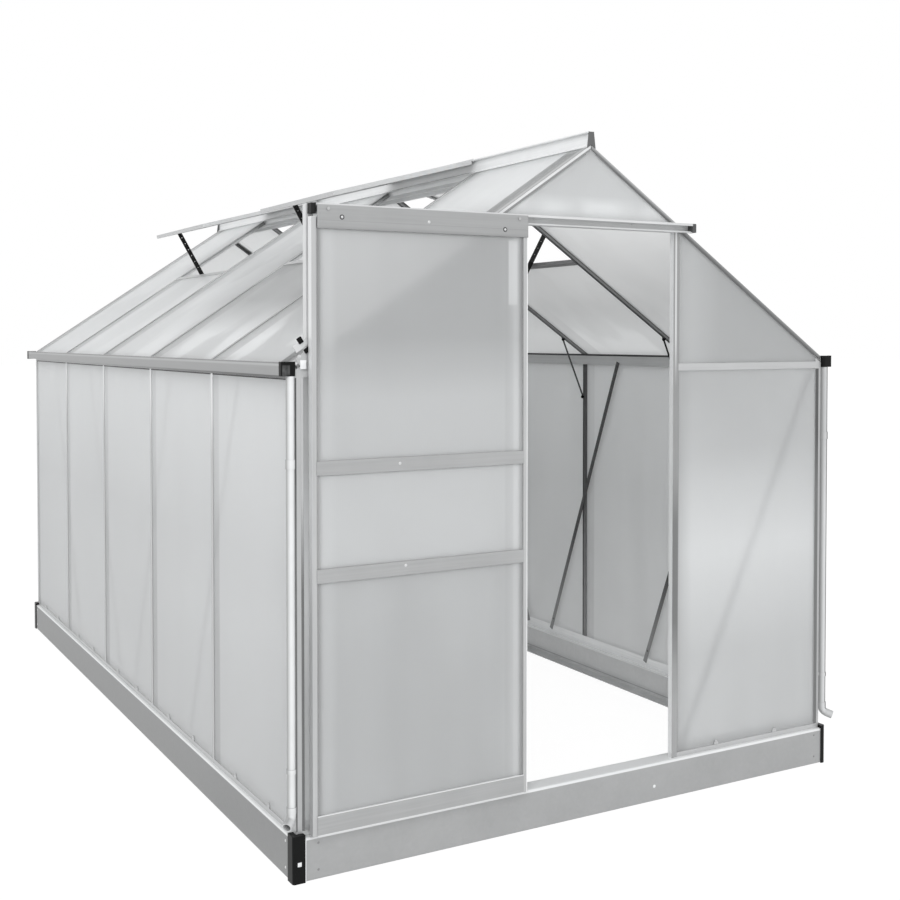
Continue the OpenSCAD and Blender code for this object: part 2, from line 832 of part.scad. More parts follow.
module vent_panels() {
    clear_plastic() at_vents() on_open_vent()
        translate([-vent_l + 6 + panel_gap, -vent_w / 2 + 6 + panel_gap,
            vent_lid - skin - panel_t])
            cube([vent_l - vent_start - 12 - 2 * panel_gap, vent_w - 12 - 2 * panel_gap, panel_t]);
}

// Stay from the vent's free rail down past the upper side of the sill
module vent_stays() {
    under = vent_lid - panel_t - 2 * skin;
    free = vent_l - 14;
    top_p = [-crest_half - free * cos(vent_tilt) - under * sin(vent_tilt),
        bead_z - free * sin(vent_tilt) + under * cos(vent_tilt)];
    s = slope_l - vent_drop + jamb_box / 2 + stay_w / 2 + 2.5;
    low_p = [-wall_x + s * cos(roof_pitch), eave_h + s * sin(roof_pitch)];
    run = top_p - low_p;
    past = 20;                        // extra at the upper end before it is cut
    color([0.09, 0.1, 0.09]) at_vents(stay_shift) difference() {
        translate([low_p[0], stay_t / 2, low_p[1]]) rotate([0, -atan2(run[1], run[0]), 0])
            rotate([90, 0, 0]) linear_extrude(stay_t) difference() {
                union() {
                    translate([-stay_tail, -stay_w / 2])
                        square([stay_tail + norm(run) + past, stay_w]);
                    translate([-stay_tail, 0]) circle(stay_w / 2);
                }
                for (k = [1 : stay_holes])
                    translate([k * norm(run) / (stay_holes + 1), 0]) circle(stay_hole_r);
            }
        on_open_vent() translate([-vent_l - 40, -stay_w, under])
            cube([vent_l + 40, 2 * stay_w, 40]);
    }
}

// ---------------------------------------------------------------- braces

module diagonal_braces() {
    low_z = base_h + 18;
    high_z = wall_top - 8;
    brace_d = bar_d + skin;
    color([0.6, 0.61, 0.62]) {
        both_sides() for (y = bars_at) {
            lean = y < mid_y ? 1 : -1;
            translate([-wall_x + brace_d + brace_t, 0, 0]) rotate([0, -90, 0])
                linear_extrude(brace_t)
                    strip([low_z, y + lean * brace_run], [high_z, y - lean * brace_run],
                        brace_w);
        }
        both_sides() translate([0, front_y + brace_d + brace_t, 0]) rotate([90, 0, 0])
            linear_extrude(brace_t)
                strip([jamb_x + 14, low_z], [wall_x - post_leg - 14, high_z], brace_w);
    }
}

module knee_braces() {
    inset = seat_d + 0.5;
    side = slot_w / 2;
    color([0.6, 0.61, 0.62]) both_sides() for (y = bars_at)
        translate([0, y + side + 3, 0]) rotate([90, 0, 0]) linear_extrude(3) intersection() {
            strip([-wall_x + 10, eave_h - knee_drop],
                [-wall_x + knee_reach * cos(roof_pitch) + 8,
                    eave_h + knee_reach * sin(roof_pitch) - 8], knee_w);
            polygon([[-wall_x + inset, 0], [-wall_x + inset, roof_z(wall_x - inset, inset)],
                [0, roof_z(0, inset)], [0, 0]]);
        }
}

// ---------------------------------------------------------------- sliding door

door_l = -door_open_x;
door_r = door_l + door_w;
stile_box = 10;                       // box part of a stile
stile_lip = 13;                       // stile's face in front of the panels
hanger_l = door_l + door_past;        // hanger plate's left end

// Stile seen from above: a box at the door's edge and a groove for the panels
module stile_section() {
    difference() {
        square([stile_box, door_t]);
        translate([skin, skin]) square([stile_box - 2 * skin, door_t - 2 * skin]);
    }
    square([stile_lip, skin]);
    translate([0, groove]) square([stile_w, skin]);
}

module door_stiles() {
    color([0.74, 0.75, 0.76]) translate([door_l + door_w / 2, face_y, door_bottom])
        both_sides() translate([-door_w / 2, 0, 0])
            linear_extrude(door_top - door_bottom) stile_section();
}

// One rail: a body between the stiles and a face plate across them
module door_rail(z0, z1) {
    translate([door_l + stile_w, face_y, z0]) cube([door_w - 2 * stile_w, door_t, z1 - z0]);
    translate([door_l + stile_lip, face_y - plate_t, z0])
        cube([door_w - 2 * stile_lip, plate_t, z1 - z0]);
}

module door_rails() {
    color([0.72, 0.73, 0.74]) {
        door_rail(door_bottom, door_bottom + kick_h);
        door_rail(cross_low_z - cross_h / 2, cross_low_z + cross_h / 2);
        door_rail(cross_high_z - cross_h / 2, cross_high_z + cross_h / 2);
        translate([door_l + stile_w, face_y, door_top - 30])
            cube([door_w - 2 * stile_w, door_t, 30]);
    }
}

module door_hanger() {
    color([0.66, 0.67, 0.67]) translate([hanger_l, face_y - plate_t, track_z + track_h - 1 - hanger_h])
        cube([door_r - hanger_l, plate_t, hanger_h]);
}

module door_panels() {
    side = stile_box + panel_gap;
    clear_plastic() translate([door_l + side, face_y + skin, 0])
        for (z = [[door_bottom + kick_h, cross_low_z - cross_h / 2],
            [cross_low_z + cross_h / 2, cross_high_z - cross_h / 2],
            [cross_high_z + cross_h / 2, door_top - 30]])
            translate([0, 0, z[0]]) cube([door_w - 2 * side, panel_t, z[1] - z[0]]);
}

module door_rollers() {
    half = wheel_w / 2;
    rim = wheel_r + wheel_flange;
    color([0.9, 0.9, 0.88]) for (x = [hanger_l + roller_inset, door_r - roller_inset])
        translate([x, front_y - rib_at, wheel_z]) rotate([90, 0, 0]) {
            rotate_extrude() polygon([[0, -half], [rim, -half], [rim, -2], [wheel_r, -1.4],
                [wheel_r, 1.4], [rim, 2], [rim, half], [0, half]]);
            cylinder(r = 3, h = door_gap + door_t - rib_at);
            translate([0, 0, door_gap + door_t + plate_t - rib_at])
                cylinder(r = bolt_r, h = bolt_head, $fn = 6);
        }
}

// ---------------------------------------------------------------- nodes

base_ends();
base_sides();
base_corner_caps();
side_sills();
end_sills();
corner_posts();
left_wall_bars();
right_wall_bars();
eave_beams();
gutter_fronts();
gutter_floors();
gutter_end_caps();
downpipes();
gable_rafters();
left_roof_bars();
right_roof_bars();
ridge_beam();
ridge_end_plates();
front_jambs();
rear_posts();
gable_rails();
front_header();
door_track();
track_end_caps();
track_post();
track_bracket();
left_wall_panels();
right_wall_panels();
front_wall_panels();
front_gable_panels();
rear_wall_panels();
rear_gable_panels();
left_roof_panels();
right_roof_panels();
vent_sills();
vent_frames();
vent_panels();
vent_stays();
diagonal_braces();
knee_braces();
door_stiles();
door_rails();
door_hanger();
door_panels();
door_rollers();
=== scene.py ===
"""Looks of the polycarbonate greenhouse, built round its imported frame.

Metres, z up: the front gable with the sliding door looks along -y.
The profiles and panels come with the frame. Added here: finishes, small fixings and
strips of rubber.
"""

import math

import bmesh
import bpy
from mathutils import Matrix, Vector


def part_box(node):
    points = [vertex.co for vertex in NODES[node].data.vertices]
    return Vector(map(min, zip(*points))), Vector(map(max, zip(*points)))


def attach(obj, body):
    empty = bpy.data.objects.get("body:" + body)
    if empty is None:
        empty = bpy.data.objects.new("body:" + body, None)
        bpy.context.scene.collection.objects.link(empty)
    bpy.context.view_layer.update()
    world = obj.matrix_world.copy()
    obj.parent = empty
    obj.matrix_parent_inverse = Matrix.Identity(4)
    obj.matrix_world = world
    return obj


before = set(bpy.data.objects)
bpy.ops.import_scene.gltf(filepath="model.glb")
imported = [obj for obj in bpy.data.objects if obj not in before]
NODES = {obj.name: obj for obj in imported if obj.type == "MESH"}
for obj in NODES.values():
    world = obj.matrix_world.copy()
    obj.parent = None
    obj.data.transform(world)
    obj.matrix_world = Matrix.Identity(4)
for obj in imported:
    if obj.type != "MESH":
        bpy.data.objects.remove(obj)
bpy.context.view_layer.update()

HOUSE = "greenhouse"
DOOR = "door"
MM = 0.001

# ------------------------------------------------------------------ where things are

base_lo, base_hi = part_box("base_sides")
cap_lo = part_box("base_corner_caps")[0]
wall_lo, wall_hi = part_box("side_sills")
WALL_X = wall_hi.x
FRONT_Y = wall_lo.y
REAR_Y = wall_hi.y
MID_Y = (FRONT_Y + REAR_Y) / 2
BASE_H = base_hi.z
EAVE_Z = 1.337  # roof surface over the side walls
PITCH = math.radians(33.5)
SLOPE = math.tan(PITCH)
BAYS = 5
BAY = (REAR_Y - FRONT_Y) / BAYS
BAR_YS = [FRONT_Y + k * BAY for k in range(1, BAYS)]
VENT_YS = [FRONT_Y + (k - 0.5) * BAY for k in (2, 4)]
door_lo, door_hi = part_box("door_stiles")
plate_lo, plate_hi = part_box("door_hanger")
rail_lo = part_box("door_rails")[0]
track_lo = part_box("door_track")[0]
JAMB_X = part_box("front_jambs")[1].x
CAP_LEG = 35 * MM  # reach of the left corner caps along the base
HALF_DOORWAY = 0.33  # with the jamb
OVER_EAVE = EAVE_Z - 0.03  # from here up the gable sheets belong to the gable


# ------------------------------------------------------------------ shader kit

# Sockets of a mix node that mixes colours.
MIX_SHARE, MIX_FIRST, MIX_SECOND, MIX_RESULT = 0, 6, 7, 2


class Value:
    """A number that varies over a surface: sums on it add the nodes that work it out."""

    def __init__(self, shader, socket):
        self.shader = shader
        self.socket = socket

    def sum(self, operation, *others, clamp=False):
        inputs = [o.socket if isinstance(o, Value) else o for o in others]
        node = self.shader.add(
            "ShaderNodeMath", {"operation": operation, "use_clamp": clamp},
            [self.socket] + inputs)
        return Value(self.shader, node.outputs[0])

    def __add__(self, other):
        return self.sum("ADD", other)

    __radd__ = __add__

    def __mul__(self, other):
        return self.sum("MULTIPLY", other)

    __rmul__ = __mul__

    def __sub__(self, other):
        return self.sum("SUBTRACT", other)

    def __rsub__(self, other):
        return self * -1 + other

    def __neg__(self):
        return self * -1

    def most(self, other):
        return self.sum("MAXIMUM", other)

    def clear(self):
        """The number kept between 0 and 1."""
        return self.sum("ADD", 0.0, clamp=True)

    def between(self, low, high):
        """0 below low, 1 above high, straight between."""
        return ((self - low) * (1 / (high - low))).clear()

    def size(self):
        return self.sum("ABSOLUTE")

    def repeat(self, step):
        """Distance from the nearest multiple of step."""
        return self.sum("PINGPONG", step / 2)


class Nodes:
    """A node tree and the one way to add a node to it."""

    def __init__(self, tree):
        self.tree = tree
        tree.nodes.clear()

    def add(self, kind, settings=None, links=()):
        """Adds a node: its settings first, then the values or links of its sockets."""
        node = self.tree.nodes.new(kind)
        for key, value in (settings or {}).items():
            setattr(node, key, value)
        pairs = links.items() if isinstance(links, dict) else enumerate(links)
        for key, value in pairs:
            value = value.socket if isinstance(value, Value) else value
            if isinstance(value, bpy.types.NodeSocket):
                self.tree.links.new(value, node.inputs[key])
            else:
                node.inputs[key].default_value = value
        return node

    def seen(self):
        """1 for rays that show the backdrop: straight, mirrored or through glass."""
        path = self.add("ShaderNodeLightPath")
        straight = Value(self, path.outputs["Is Camera Ray"])
        mirrored = Value(self, path.outputs["Is Glossy Ray"])
        return straight.most(mirrored).most(Value(self, path.outputs["Is Transmission Ray"]))


class Finish(Nodes):
    """One material: a Principled shader and the nodes that vary it."""

    def __init__(self, name):
        self.material = bpy.data.materials.new(name)
        self.material.use_nodes = True
        super().__init__(self.material.node_tree)
        self.output = self.add("ShaderNodeOutputMaterial")
        self.body = self.add("ShaderNodeBsdfPrincipled")
        self.tree.links.new(self.body.outputs[0], self.output.inputs["Surface"])
        self.place = self.add("ShaderNodeTexCoord").outputs["Object"]
        parts = self.add("ShaderNodeSeparateXYZ", links=[self.place])
        self.x = Value(self, parts.outputs[0])
        self.y = Value(self, parts.outputs[1])
        self.z = Value(self, parts.outputs[2])

    def set(self, **values):
        """Sets sockets of the Principled shader, named with _ for spaces."""
        for key, value in values.items():
            socket = self.body.inputs[key.replace("_", " ")]
            value = value.socket if isinstance(value, Value) else value
            if isinstance(value, bpy.types.NodeSocket):
                self.tree.links.new(value, socket)
            else:
                socket.default_value = value

    def stretched(self, stretch):
        """Object place scaled by three numbers, for patterns drawn out along an axis."""
        node = self.add("ShaderNodeMapping", {"vector_type": "POINT"},
                        {"Vector": self.place, "Scale": stretch})
        return node.outputs[0]

    def cloud(self, scale, detail=2.0, rough=0.5, place=None):
        """Soft noise from 0 to 1."""
        node = self.add(
            "ShaderNodeTexNoise", {"noise_dimensions": "3D"},
            {"Vector": place or self.place, "Scale": scale, "Detail": detail,
             "Roughness": rough})
        return Value(self, node.outputs["Fac"])

    def flakes(self, scale):
        """Crystal cells, each with its own level from 0 to 1."""
        node = self.add("ShaderNodeTexVoronoi", {"feature": "F1"},
                        {"Vector": self.place, "Scale": scale})
        split = self.add("ShaderNodeSeparateColor", links=[node.outputs["Color"]])
        return Value(self, split.outputs[0])

    def blend(self, share, first, second):
        """Colour that goes from first to second as share goes from 0 to 1."""
        node = self.add("ShaderNodeMix", {"data_type": "RGBA", "blend_type": "MIX"},
                        {MIX_SHARE: share, MIX_FIRST: colour(first),
                         MIX_SECOND: colour(second)})
        return node.outputs[MIX_RESULT]

    def bump(self, height, strength, depth):
        """Fine relief from a height that varies from 0 to 1."""
        node = self.add("ShaderNodeBump", links={
            "Strength": strength, "Distance": depth, "Height": height})
        return node.outputs[0]

    def outward(self, axis):
        """1 where the surface looks along an axis, -1 where it looks the other way."""
        node = self.add("ShaderNodeNewGeometry")
        parts = self.add("ShaderNodeSeparateXYZ", links=[node.outputs["Normal"]])
        return Value(self, parts.outputs["xyz".index(axis)])

    def up(self):
        """1 on faces that look up."""
        return self.outward("z").between(0.3, 0.6)

    def down(self):
        """1 on faces that look down."""
        return (-self.outward("z")).between(0.2, 0.5)

    def right_side(self):
        """1 on the right of the house, 0 on its left."""
        return self.x.between(0.0, 0.1)

    def wear(self):
        """Soft marks from 0 to 1."""
        return self.cloud(25.0, 3.0)

    def band(self, value, middle, half, soft=0.6 * MM):
        """1 within half of middle, fading to 0 over soft."""
        return 1 - (value - middle).size().between(half, half + soft)


def colour(value):
    """A grey level, a triple or a link, as a colour socket takes it."""
    if isinstance(value, (int, float)):
        return (value, value, value, 1)
    if isinstance(value, tuple):
        return value + (1,)
    return value


# ------------------------------------------------------------------ finishes

# Grains: how often a metal's lines repeat along x, y and z.
ALONG_X = (1.2, 60, 60)
ALONG_Y = (60, 1.2, 60)
ALONG_Z = (60, 60, 1.2)
ALONG_SLOPE = (10, 60, 10)
ALL_ROUND = (200, 200, 200)


def grey(tone, lift=1.0):
    """Slightly cool grey."""
    return (tone * lift * 0.992, tone * lift, tone * lift * 1.002)


def metal_grain(f, grain):
    """Level from 0 to 1 of the drawing lines and dull clouds, and the lines alone."""
    lines = f.cloud(3.0, 3.0, 0.6, f.stretched(grain))
    dull = f.cloud(7.0, 3.0)
    return (lines * 0.55 + dull * 0.45).between(0.25, 0.75), lines


def toned(f, level, tone):
    """Grey of a tone, a little darker and lighter as level goes from 0 to 1."""
    return f.blend(level, grey(tone, 0.88), grey(tone, 1.1))


def finish_metal(f, shade, level, lines, shine):
    """Joins a metal's colour, roughness and drawing lines."""
    f.set(Base_Color=shade, Metallic=shine, Roughness=0.34 + 0.16 * level,
          Normal=f.bump(lines, 0.12, 0.4 * MM))
    return f.material


def aluminium(name, grain, tone=0.52, shine=0.3, upper=None, under=None, right=None,
              rims=()):
    """Mill finish aluminium with drawing lines along the profile.

    upper and under are painted tones of faces that look up and down, right the painted
    tone on the right of the house, and rims the heights of painted highlights along
    folded edges."""
    f = Finish(name)
    level, lines = metal_grain(f, grain)
    shade = toned(f, level, tone)
    # Painted light and shade: the right of the house, faces that look up and down, and
    # highlights at the rims.
    if right:
        shade = f.blend(f.right_side(), shade, toned(f, level, right))
    if upper:
        shade = f.blend(f.up(), shade, toned(f, level, upper))
    if under:
        shade = f.blend(f.down(), shade, grey(under))
    for height in rims:
        shade = f.blend(f.band(f.z, height, 1.2 * MM) * 0.8, shade, grey(0.85))
    return finish_metal(f, shade, level, lines, shine)


def wall_bar_metal():
    """Wall bars: mill finish outside, with a painted highlight near the eave and painted shade
    behind the panels.
    """
    f = Finish("mill aluminium wall bars")
    level, lines = metal_grain(f, ALONG_Z)
    depth = 6 * MM
    inner = 1 - f.x.size().between(WALL_X - depth - 1 * MM, WALL_X - depth)
    # Painted highlight towards the eave outside; painted shade on the parts behind the panels,
    # deeper higher up.
    shade = f.blend(f.z.between(1.05, 1.3) * 0.9, toned(f, level, 0.5), grey(0.92))
    inside = f.blend(f.z.between(0.2, 0.85), grey(0.34), grey(0.14))
    return finish_metal(f, f.blend(inner, shade, inside), level, lines, 0.3)


def sill_metal():
    """Side sills, painted lighter where they stand inside the walls."""
    f = Finish("side sill aluminium")
    level, lines = metal_grain(f, ALONG_Y)
    inner = 1 - f.x.size().between(WALL_X - 16 * MM, WALL_X - 15 * MM)
    # Painted light on the parts inside the walls.
    shade = f.blend(inner, toned(f, level, 0.5), toned(f, level, 0.9))
    return finish_metal(f, shade, level, lines, 0.15)


def eave_metal():
    """Eave beams: a black line of painted shade for a groove along the inner faces, and painted
    shade under the gutters, deeper towards the front.
    """
    f = Finish("eave aluminium")
    level, lines = metal_grain(f, ALONG_Y)
    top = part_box("eave_beams")[1].z
    # Painted shade: a black line for the groove.
    groove = f.z.between(top - 7.5 * MM, top - 7 * MM)
    shade = f.blend(groove, toned(f, level, 0.56), grey(0.012))
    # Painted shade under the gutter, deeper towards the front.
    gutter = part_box("gutter_fronts")[0].z
    below = f.x.size().between(WALL_X - 1.5 * MM, WALL_X - 1 * MM)
    below = below * f.z.between(gutter + 1 * MM, gutter)
    shade = f.blend(below, shade, f.blend(f.y.between(0.4, -1.2), grey(0.45), grey(0.19)))
    return finish_metal(f, shade, level, lines, 0.25)


def gutter_metal():
    """Gutters: a painted highlight on the curl and on faces that look up, a painted shade line
    under it and a painted highlight streak below that.
    """
    f = Finish("gutter aluminium")
    level, lines = metal_grain(f, ALONG_Y)
    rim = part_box("gutter_fronts")[1].z
    # Painted highlight streak, painted shade line, and painted highlight on faces that look up.
    streak = f.band(f.z, rim - 7 * MM, 1.5 * MM, 3 * MM)
    shade = f.blend(streak, toned(f, level, 0.32), grey(0.42))
    shade = f.blend(f.z.between(rim - 4.5 * MM, rim - 3.5 * MM), shade, grey(0.25))
    shade = f.blend(f.up(), shade, grey(0.85))
    return finish_metal(f, shade, level, lines, 0.3)


def roof_bar_metal():
    """Roof bars: grey caps with painted light on faces that look up, painted shade on their
    under sides, and painted light on the flanks beside the left vents.
    """
    f = Finish("mill aluminium roof bars")
    level, lines = metal_grain(f, ALONG_SLOPE)
    # Painted light on the flanks by the left vents and on faces that look up; painted shade
    # underneath.
    flank = f.x.between(0.0, -0.1) * f.z.between(1.58, 1.62)
    shade = f.blend(flank, toned(f, level, 0.3), toned(f, level, 0.8))
    shade = f.blend(f.up(), shade, toned(f, level, 0.4))
    under = f.down() * (1 - 0.6 * flank)
    shade = f.blend(under, shade, grey(0.02))
    return finish_metal(f, shade, level, lines, 0.3)


def stile_metal():
    """Door stiles, with painted light on their left faces and a painted highlight along the
    outer edge at the right.
    """
    f = Finish("door stile aluminium")
    level, lines = metal_grain(f, ALONG_Z)
    # Painted light on the left faces and a painted highlight on the outer edge.
    left = (-f.outward("x")).between(0.4, 0.8) * f.z.between(0.6, 1.0)
    edge = f.x.between(door_hi.x - 2.6 * MM, door_hi.x - 2 * MM)
    shade = f.blend(left, toned(f, level, 0.5), toned(f, level, 0.75))
    shade = f.blend(edge, shade, grey(0.9))
    return finish_metal(f, shade, level, lines, 0.3)


def jamb_metal():
    """Jambs: painted light on the reveal, a grey face with painted shade at middle height and
    painted light low down, and a painted highlight on the face beside the upper panel.
    """
    f = Finish("jamb aluminium")
    level, lines = metal_grain(f, ALONG_Z)
    # Painted light on the reveal; on the face, painted shade at middle height and painted light
    # low down.
    face = (-f.outward("y")).between(0.4, 0.8)
    dull = f.band(f.z, 0.68, 0.15, 0.15)
    front = f.blend(dull, toned(f, level, 0.31), toned(f, level, 0.19))
    front = f.blend(f.z.between(0.45, 0.25), front, toned(f, level, 0.38))
    shade = f.blend(face, toned(f, level, 0.8), front)
    # Painted highlight on the face beside the upper panel.
    bead_highlight = f.band(f.x.size(), JAMB_X - 11 * MM, 3 * MM) * f.z.between(1.25, 1.4)
    shade = f.blend(face * bead_highlight, shade, grey(0.66))
    return finish_metal(f, shade, level, lines, 0.25)


def rafter_metal():
    """Rafters: a painted highlight on the upper half of the left lip, painted shade on the right
    one towards the panel, a painted highlight streak on the top and painted shade underneath.
    """
    f = Finish("rafter aluminium")
    level, lines = metal_grain(f, ALONG_SLOPE)
    # Painted highlight and painted shade on the lips, a painted highlight streak on top, painted
    # shade underneath.
    above = f.z + f.x.size() * SLOPE - (EAVE_Z + WALL_X * SLOPE)
    left = f.blend(above.between(-9 * MM, -8 * MM), grey(0.3), toned(f, level, 0.72))
    right = f.blend(above.between(-2 * MM, -9 * MM), toned(f, level, 0.42), grey(0.2))
    right = f.blend(f.z.between(1.74, 1.66) * 0.5, right, grey(0.12))
    lip = f.blend(f.x.between(-1 * MM, 1 * MM), left, right)
    top = f.up()
    streak = f.band(f.y, FRONT_Y + 17 * MM, 8 * MM, 3 * MM)
    plate = f.blend(streak * 0.8, toned(f, level, 0.29), grey(0.45))
    shade = f.blend(top, lip, plate)
    shade = f.blend(f.down(), shade, grey(0.14))
    return finish_metal(f, shade, level, lines, 0.25)


def hanger_metal():
    """Zinc plated hanger: a painted highlight along its upper edge, a line of painted shade for
    the crease along its lower third, and painted shade along its lower edge.
    """
    f = Finish("zinc plated hanger")
    level, lines = metal_grain(f, ALONG_X)
    shade = toned(f, level, 0.37)
    # Painted highlight on the upper edge, painted shade at the crease and along the lower edge.
    shade = f.blend(f.band(f.z, plate_hi.z, 2.5 * MM, 1.5 * MM) * 0.7, shade, grey(0.75))
    shade = f.blend(f.band(f.z, plate_lo.z + 21 * MM, 0.5 * MM) * 0.3, shade, grey(0.2))
    shade = f.blend(f.z.between(plate_lo.z + 8 * MM, plate_lo.z) * 0.5, shade, grey(0.22))
    return finish_metal(f, shade, level, lines, 0.3)


def galvanised(name, tone, fold=None, inside=None, lit=None):
    """Hot dipped steel: soft spangle and dull clouds.

    fold is the height of a folded top edge with a painted highlight, inside the painted
    lighter tone of what lies within the base's outer faces, with a line of painted shade
    low down, and lit the axis and the place of a painted highlight along an edge beside
    the front left cap."""
    f = Finish(name)
    spangle = f.flakes(85.0) * 0.5 + f.flakes(140.0) * 0.5
    clouds = f.cloud(6.0, 4.0, 0.6)
    level = (spangle * 0.22 + clouds * 1.3 - 0.26).clear()
    shade = toned(f, level, tone)
    # Painted light on the faces within the base, with a line of painted shade low down.
    if inside:
        within = 1 - f.x.size().between(base_hi.x - 2 * MM, base_hi.x - 1.5 * MM)
        behind = f.y.between(base_lo.y + 1.5 * MM, base_lo.y + 2 * MM)
        shade = f.blend(within * behind, shade, toned(f, level, inside))
        line = f.band(f.z, 13 * MM, 1.2 * MM) * 0.5
        shade = f.blend(within * behind * line, shade, grey(0.16))
    # Painted highlight beside the front left cap.
    if lit:
        axis, spot = lit
        along = f.x if axis == "x" else f.y
        shade = f.blend(f.band(along, spot, 1.8 * MM), shade, grey(0.9))
    # Painted highlight on the folded top edge.
    if fold:
        shade = f.blend(f.z.between(fold - 2 * MM, fold), shade, grey(0.82))
    f.set(Base_Color=shade, Metallic=0.3, Roughness=0.36 + 0.2 * clouds,
          Normal=f.bump(spangle, 0.08, 0.3 * MM))
    return f.material


def brace_steel():
    """Braces: painted shade, dark above and grey near the sill; the front right one has the
    deepest painted shade.
    """
    f = Finish("galvanised brace steel")
    clouds = f.cloud(6.0, 4.0, 0.6)
    # Painted shade: near black above, grey near the sill.
    near = f.y.between(-0.5, -0.6) * f.right_side()
    upper = f.blend(near, grey(0.09), grey(0.012))
    shade = f.blend(f.z.between(0.2, 0.6), f.blend(clouds, grey(0.24), grey(0.34)), upper)
    f.set(Base_Color=shade, Metallic=0.2, Roughness=0.4 + 0.2 * clouds,
          Specular_IOR_Level=0.25)
    return f.material


def gutter_cap():
    """Black end caps of the gutters; the left cap's recessed middle is painted lighter grey in
    soft marks.
    """
    f = Finish("black gutter cap")
    wear = f.wear()
    lo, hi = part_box("gutter_end_caps")
    # Painted light in the recessed middle of the left cap only.
    tall = f.band(f.z, hi.z - 23 * MM, 13 * MM, 2 * MM)
    recess = tall * f.band(f.x, lo.x + 12.5 * MM, 9 * MM, 2 * MM)
    shade = f.blend(recess * wear.between(0.3, 0.55), grey(0.006), grey(0.12))
    f.set(Base_Color=shade, Roughness=0.3 + 0.1 * wear, Specular_IOR_Level=0.12)
    return f.material


def corner_rubber_and_shade():
    """Dark rubber beside the corner posts, darker higher up; the narrow left strip is a dark
    line of painted shade beside the downpipe, and the wider left strip has painted light on its
    upper part.
    """
    f = Finish("corner rubber and shade")
    wear = f.wear()
    # Painted light on the upper part of the wider left strip.
    lit_upper_left = f.x.between(5 * MM - WALL_X, 10 * MM - WALL_X) * f.x.between(0.0, -0.1)
    lit_upper_left = lit_upper_left * f.z.between(0.75, 1.0)
    dark = f.blend(f.z.between(0.9, 1.1), grey(0.17), grey(0.09))
    f.set(Base_Color=f.blend(lit_upper_left, dark, grey(0.52)), Roughness=0.6 + 0.1 * wear)
    return f.material


def plastic(name, tone, rough, shine=0.5, right=None):
    """Moulded plastic with a fine grain; right is the tone of painted light and shade on the
    right side.
    """
    f = Finish(name)
    speck = f.cloud(900.0, 2.0)
    wear = f.wear()
    shade = f.blend(wear, grey(tone, 0.86), grey(tone, 1.12))
    # Painted light and shade on the right side.
    if right:
        shade = f.blend(f.right_side(), shade, grey(right))
    f.set(Base_Color=shade, Roughness=rough + 0.1 * wear, Specular_IOR_Level=shine,
          Normal=f.bump(speck, 0.15, 0.1 * MM))
    return f.material


def pipe_plastic():
    """Downpipes: white in front with painted shade round their sides, more painted shade on the
    right one, and a painted dark edge on its right.
    """
    f = Finish("white pipe plastic")
    wear = f.wear()
    right = f.right_side()
    # Painted shade round the sides, more on the right pipe.
    front = (-f.outward("y")).between(0.3, 0.95)
    white = f.blend(right * (0.25 + 0.3 * f.z.between(0.8, 1.1)),
                    f.blend(wear, grey(0.7), grey(0.8)), grey(0.34))
    shade = f.blend(front, grey(0.34), white)
    # Painted shade: a dark edge on the right pipe's right side.
    edge = right * f.outward("x").between(0.02, 0.14)
    edge = edge * (-f.outward("y")).between(0.6, 0.68)
    f.set(Base_Color=f.blend(edge, shade, grey(0.05)), Roughness=0.32 + 0.1 * wear,
          Coat_Weight=0.1)
    return f.material


def wheel_nylon():
    """Nylon wheels on zinc plated bolts, whose heads stand in front of the hanger."""
    f = Finish("nylon wheels and zinc bolts")
    metal = 1 - f.y.between(plate_hi.y - 1 * MM, plate_hi.y)
    wear = f.cloud(60.0, 3.0)
    f.set(Base_Color=f.blend(metal, f.blend(wear, grey(0.66), grey(0.75)),
                             f.blend(wear, grey(0.42), grey(0.6))),
          Metallic=metal * 0.7, Roughness=0.35 + 0.1 * wear)
    return f.material


class Sheet(Finish):
    """Twin wall polycarbonate: fine flutes, soft clouds and light that comes through."""

    def __init__(self, name, ribs, tone, opacity, cloudy=0.1, glow=0.5):
        """ribs is the axis across the flutes, glow the share of light that comes through."""
        super().__init__(name)
        self.opacity = opacity
        self.glow = glow
        across = self.x if ribs == "x" else self.y
        pitch = 5.5 * MM
        self.rib = across.repeat(pitch) * (2 / pitch)
        self.flute = 1 - self.rib.between(0.0, 0.35)
        cloud = self.cloud(1.3, 3.0, 0.55)
        drawn = (7, 2, 0.5) if ribs == "x" else (2, 7, 0.5)
        streak = self.cloud(1.6, 3.0, 0.55, self.stretched(drawn))
        self.level = (cloud * 0.65 + streak * 0.35).between(0.32, 0.68)
        self.shade = self.blend(self.level, grey(tone, 1 - cloudy), grey(tone, 1 + cloudy / 2))

    def tint(self, share, tone):
        """Takes the shade towards a tone by a share that varies."""
        self.shade = self.blend(share, self.shade, grey(tone))

    def bar_shade(self, reach, share, tone):
        """Soft shade in front of every bar, as wide as reach, seen through the sheet."""
        half = reach / 2
        beside = (self.y - FRONT_Y + half).repeat(BAY)
        self.tint(self.band(beside, 0.0, half, 9 * MM) * share, tone)

    def done(self, clearer=0.0):
        """Joins the shader; clearer is taken off the opacity."""
        shade = self.blend(0.08 * self.flute, self.shade, grey(0.45))
        alpha = self.opacity + 0.06 * self.flute - 0.1 * (self.level - 0.5) - clearer
        self.set(Base_Color=shade, Roughness=0.3 + 0.12 * self.level, Alpha=alpha.clear(),
                 Normal=self.bump(self.rib, 0.1, 0.3 * MM))
        through = self.add("ShaderNodeBsdfTranslucent", links={"Color": colour(grey(0.9))})
        mix = self.add("ShaderNodeMixShader", links={
            0: self.glow, 1: self.body.outputs[0], 2: through.outputs[0]})
        self.tree.links.new(mix.outputs[0], self.output.inputs["Surface"])
        return self.material


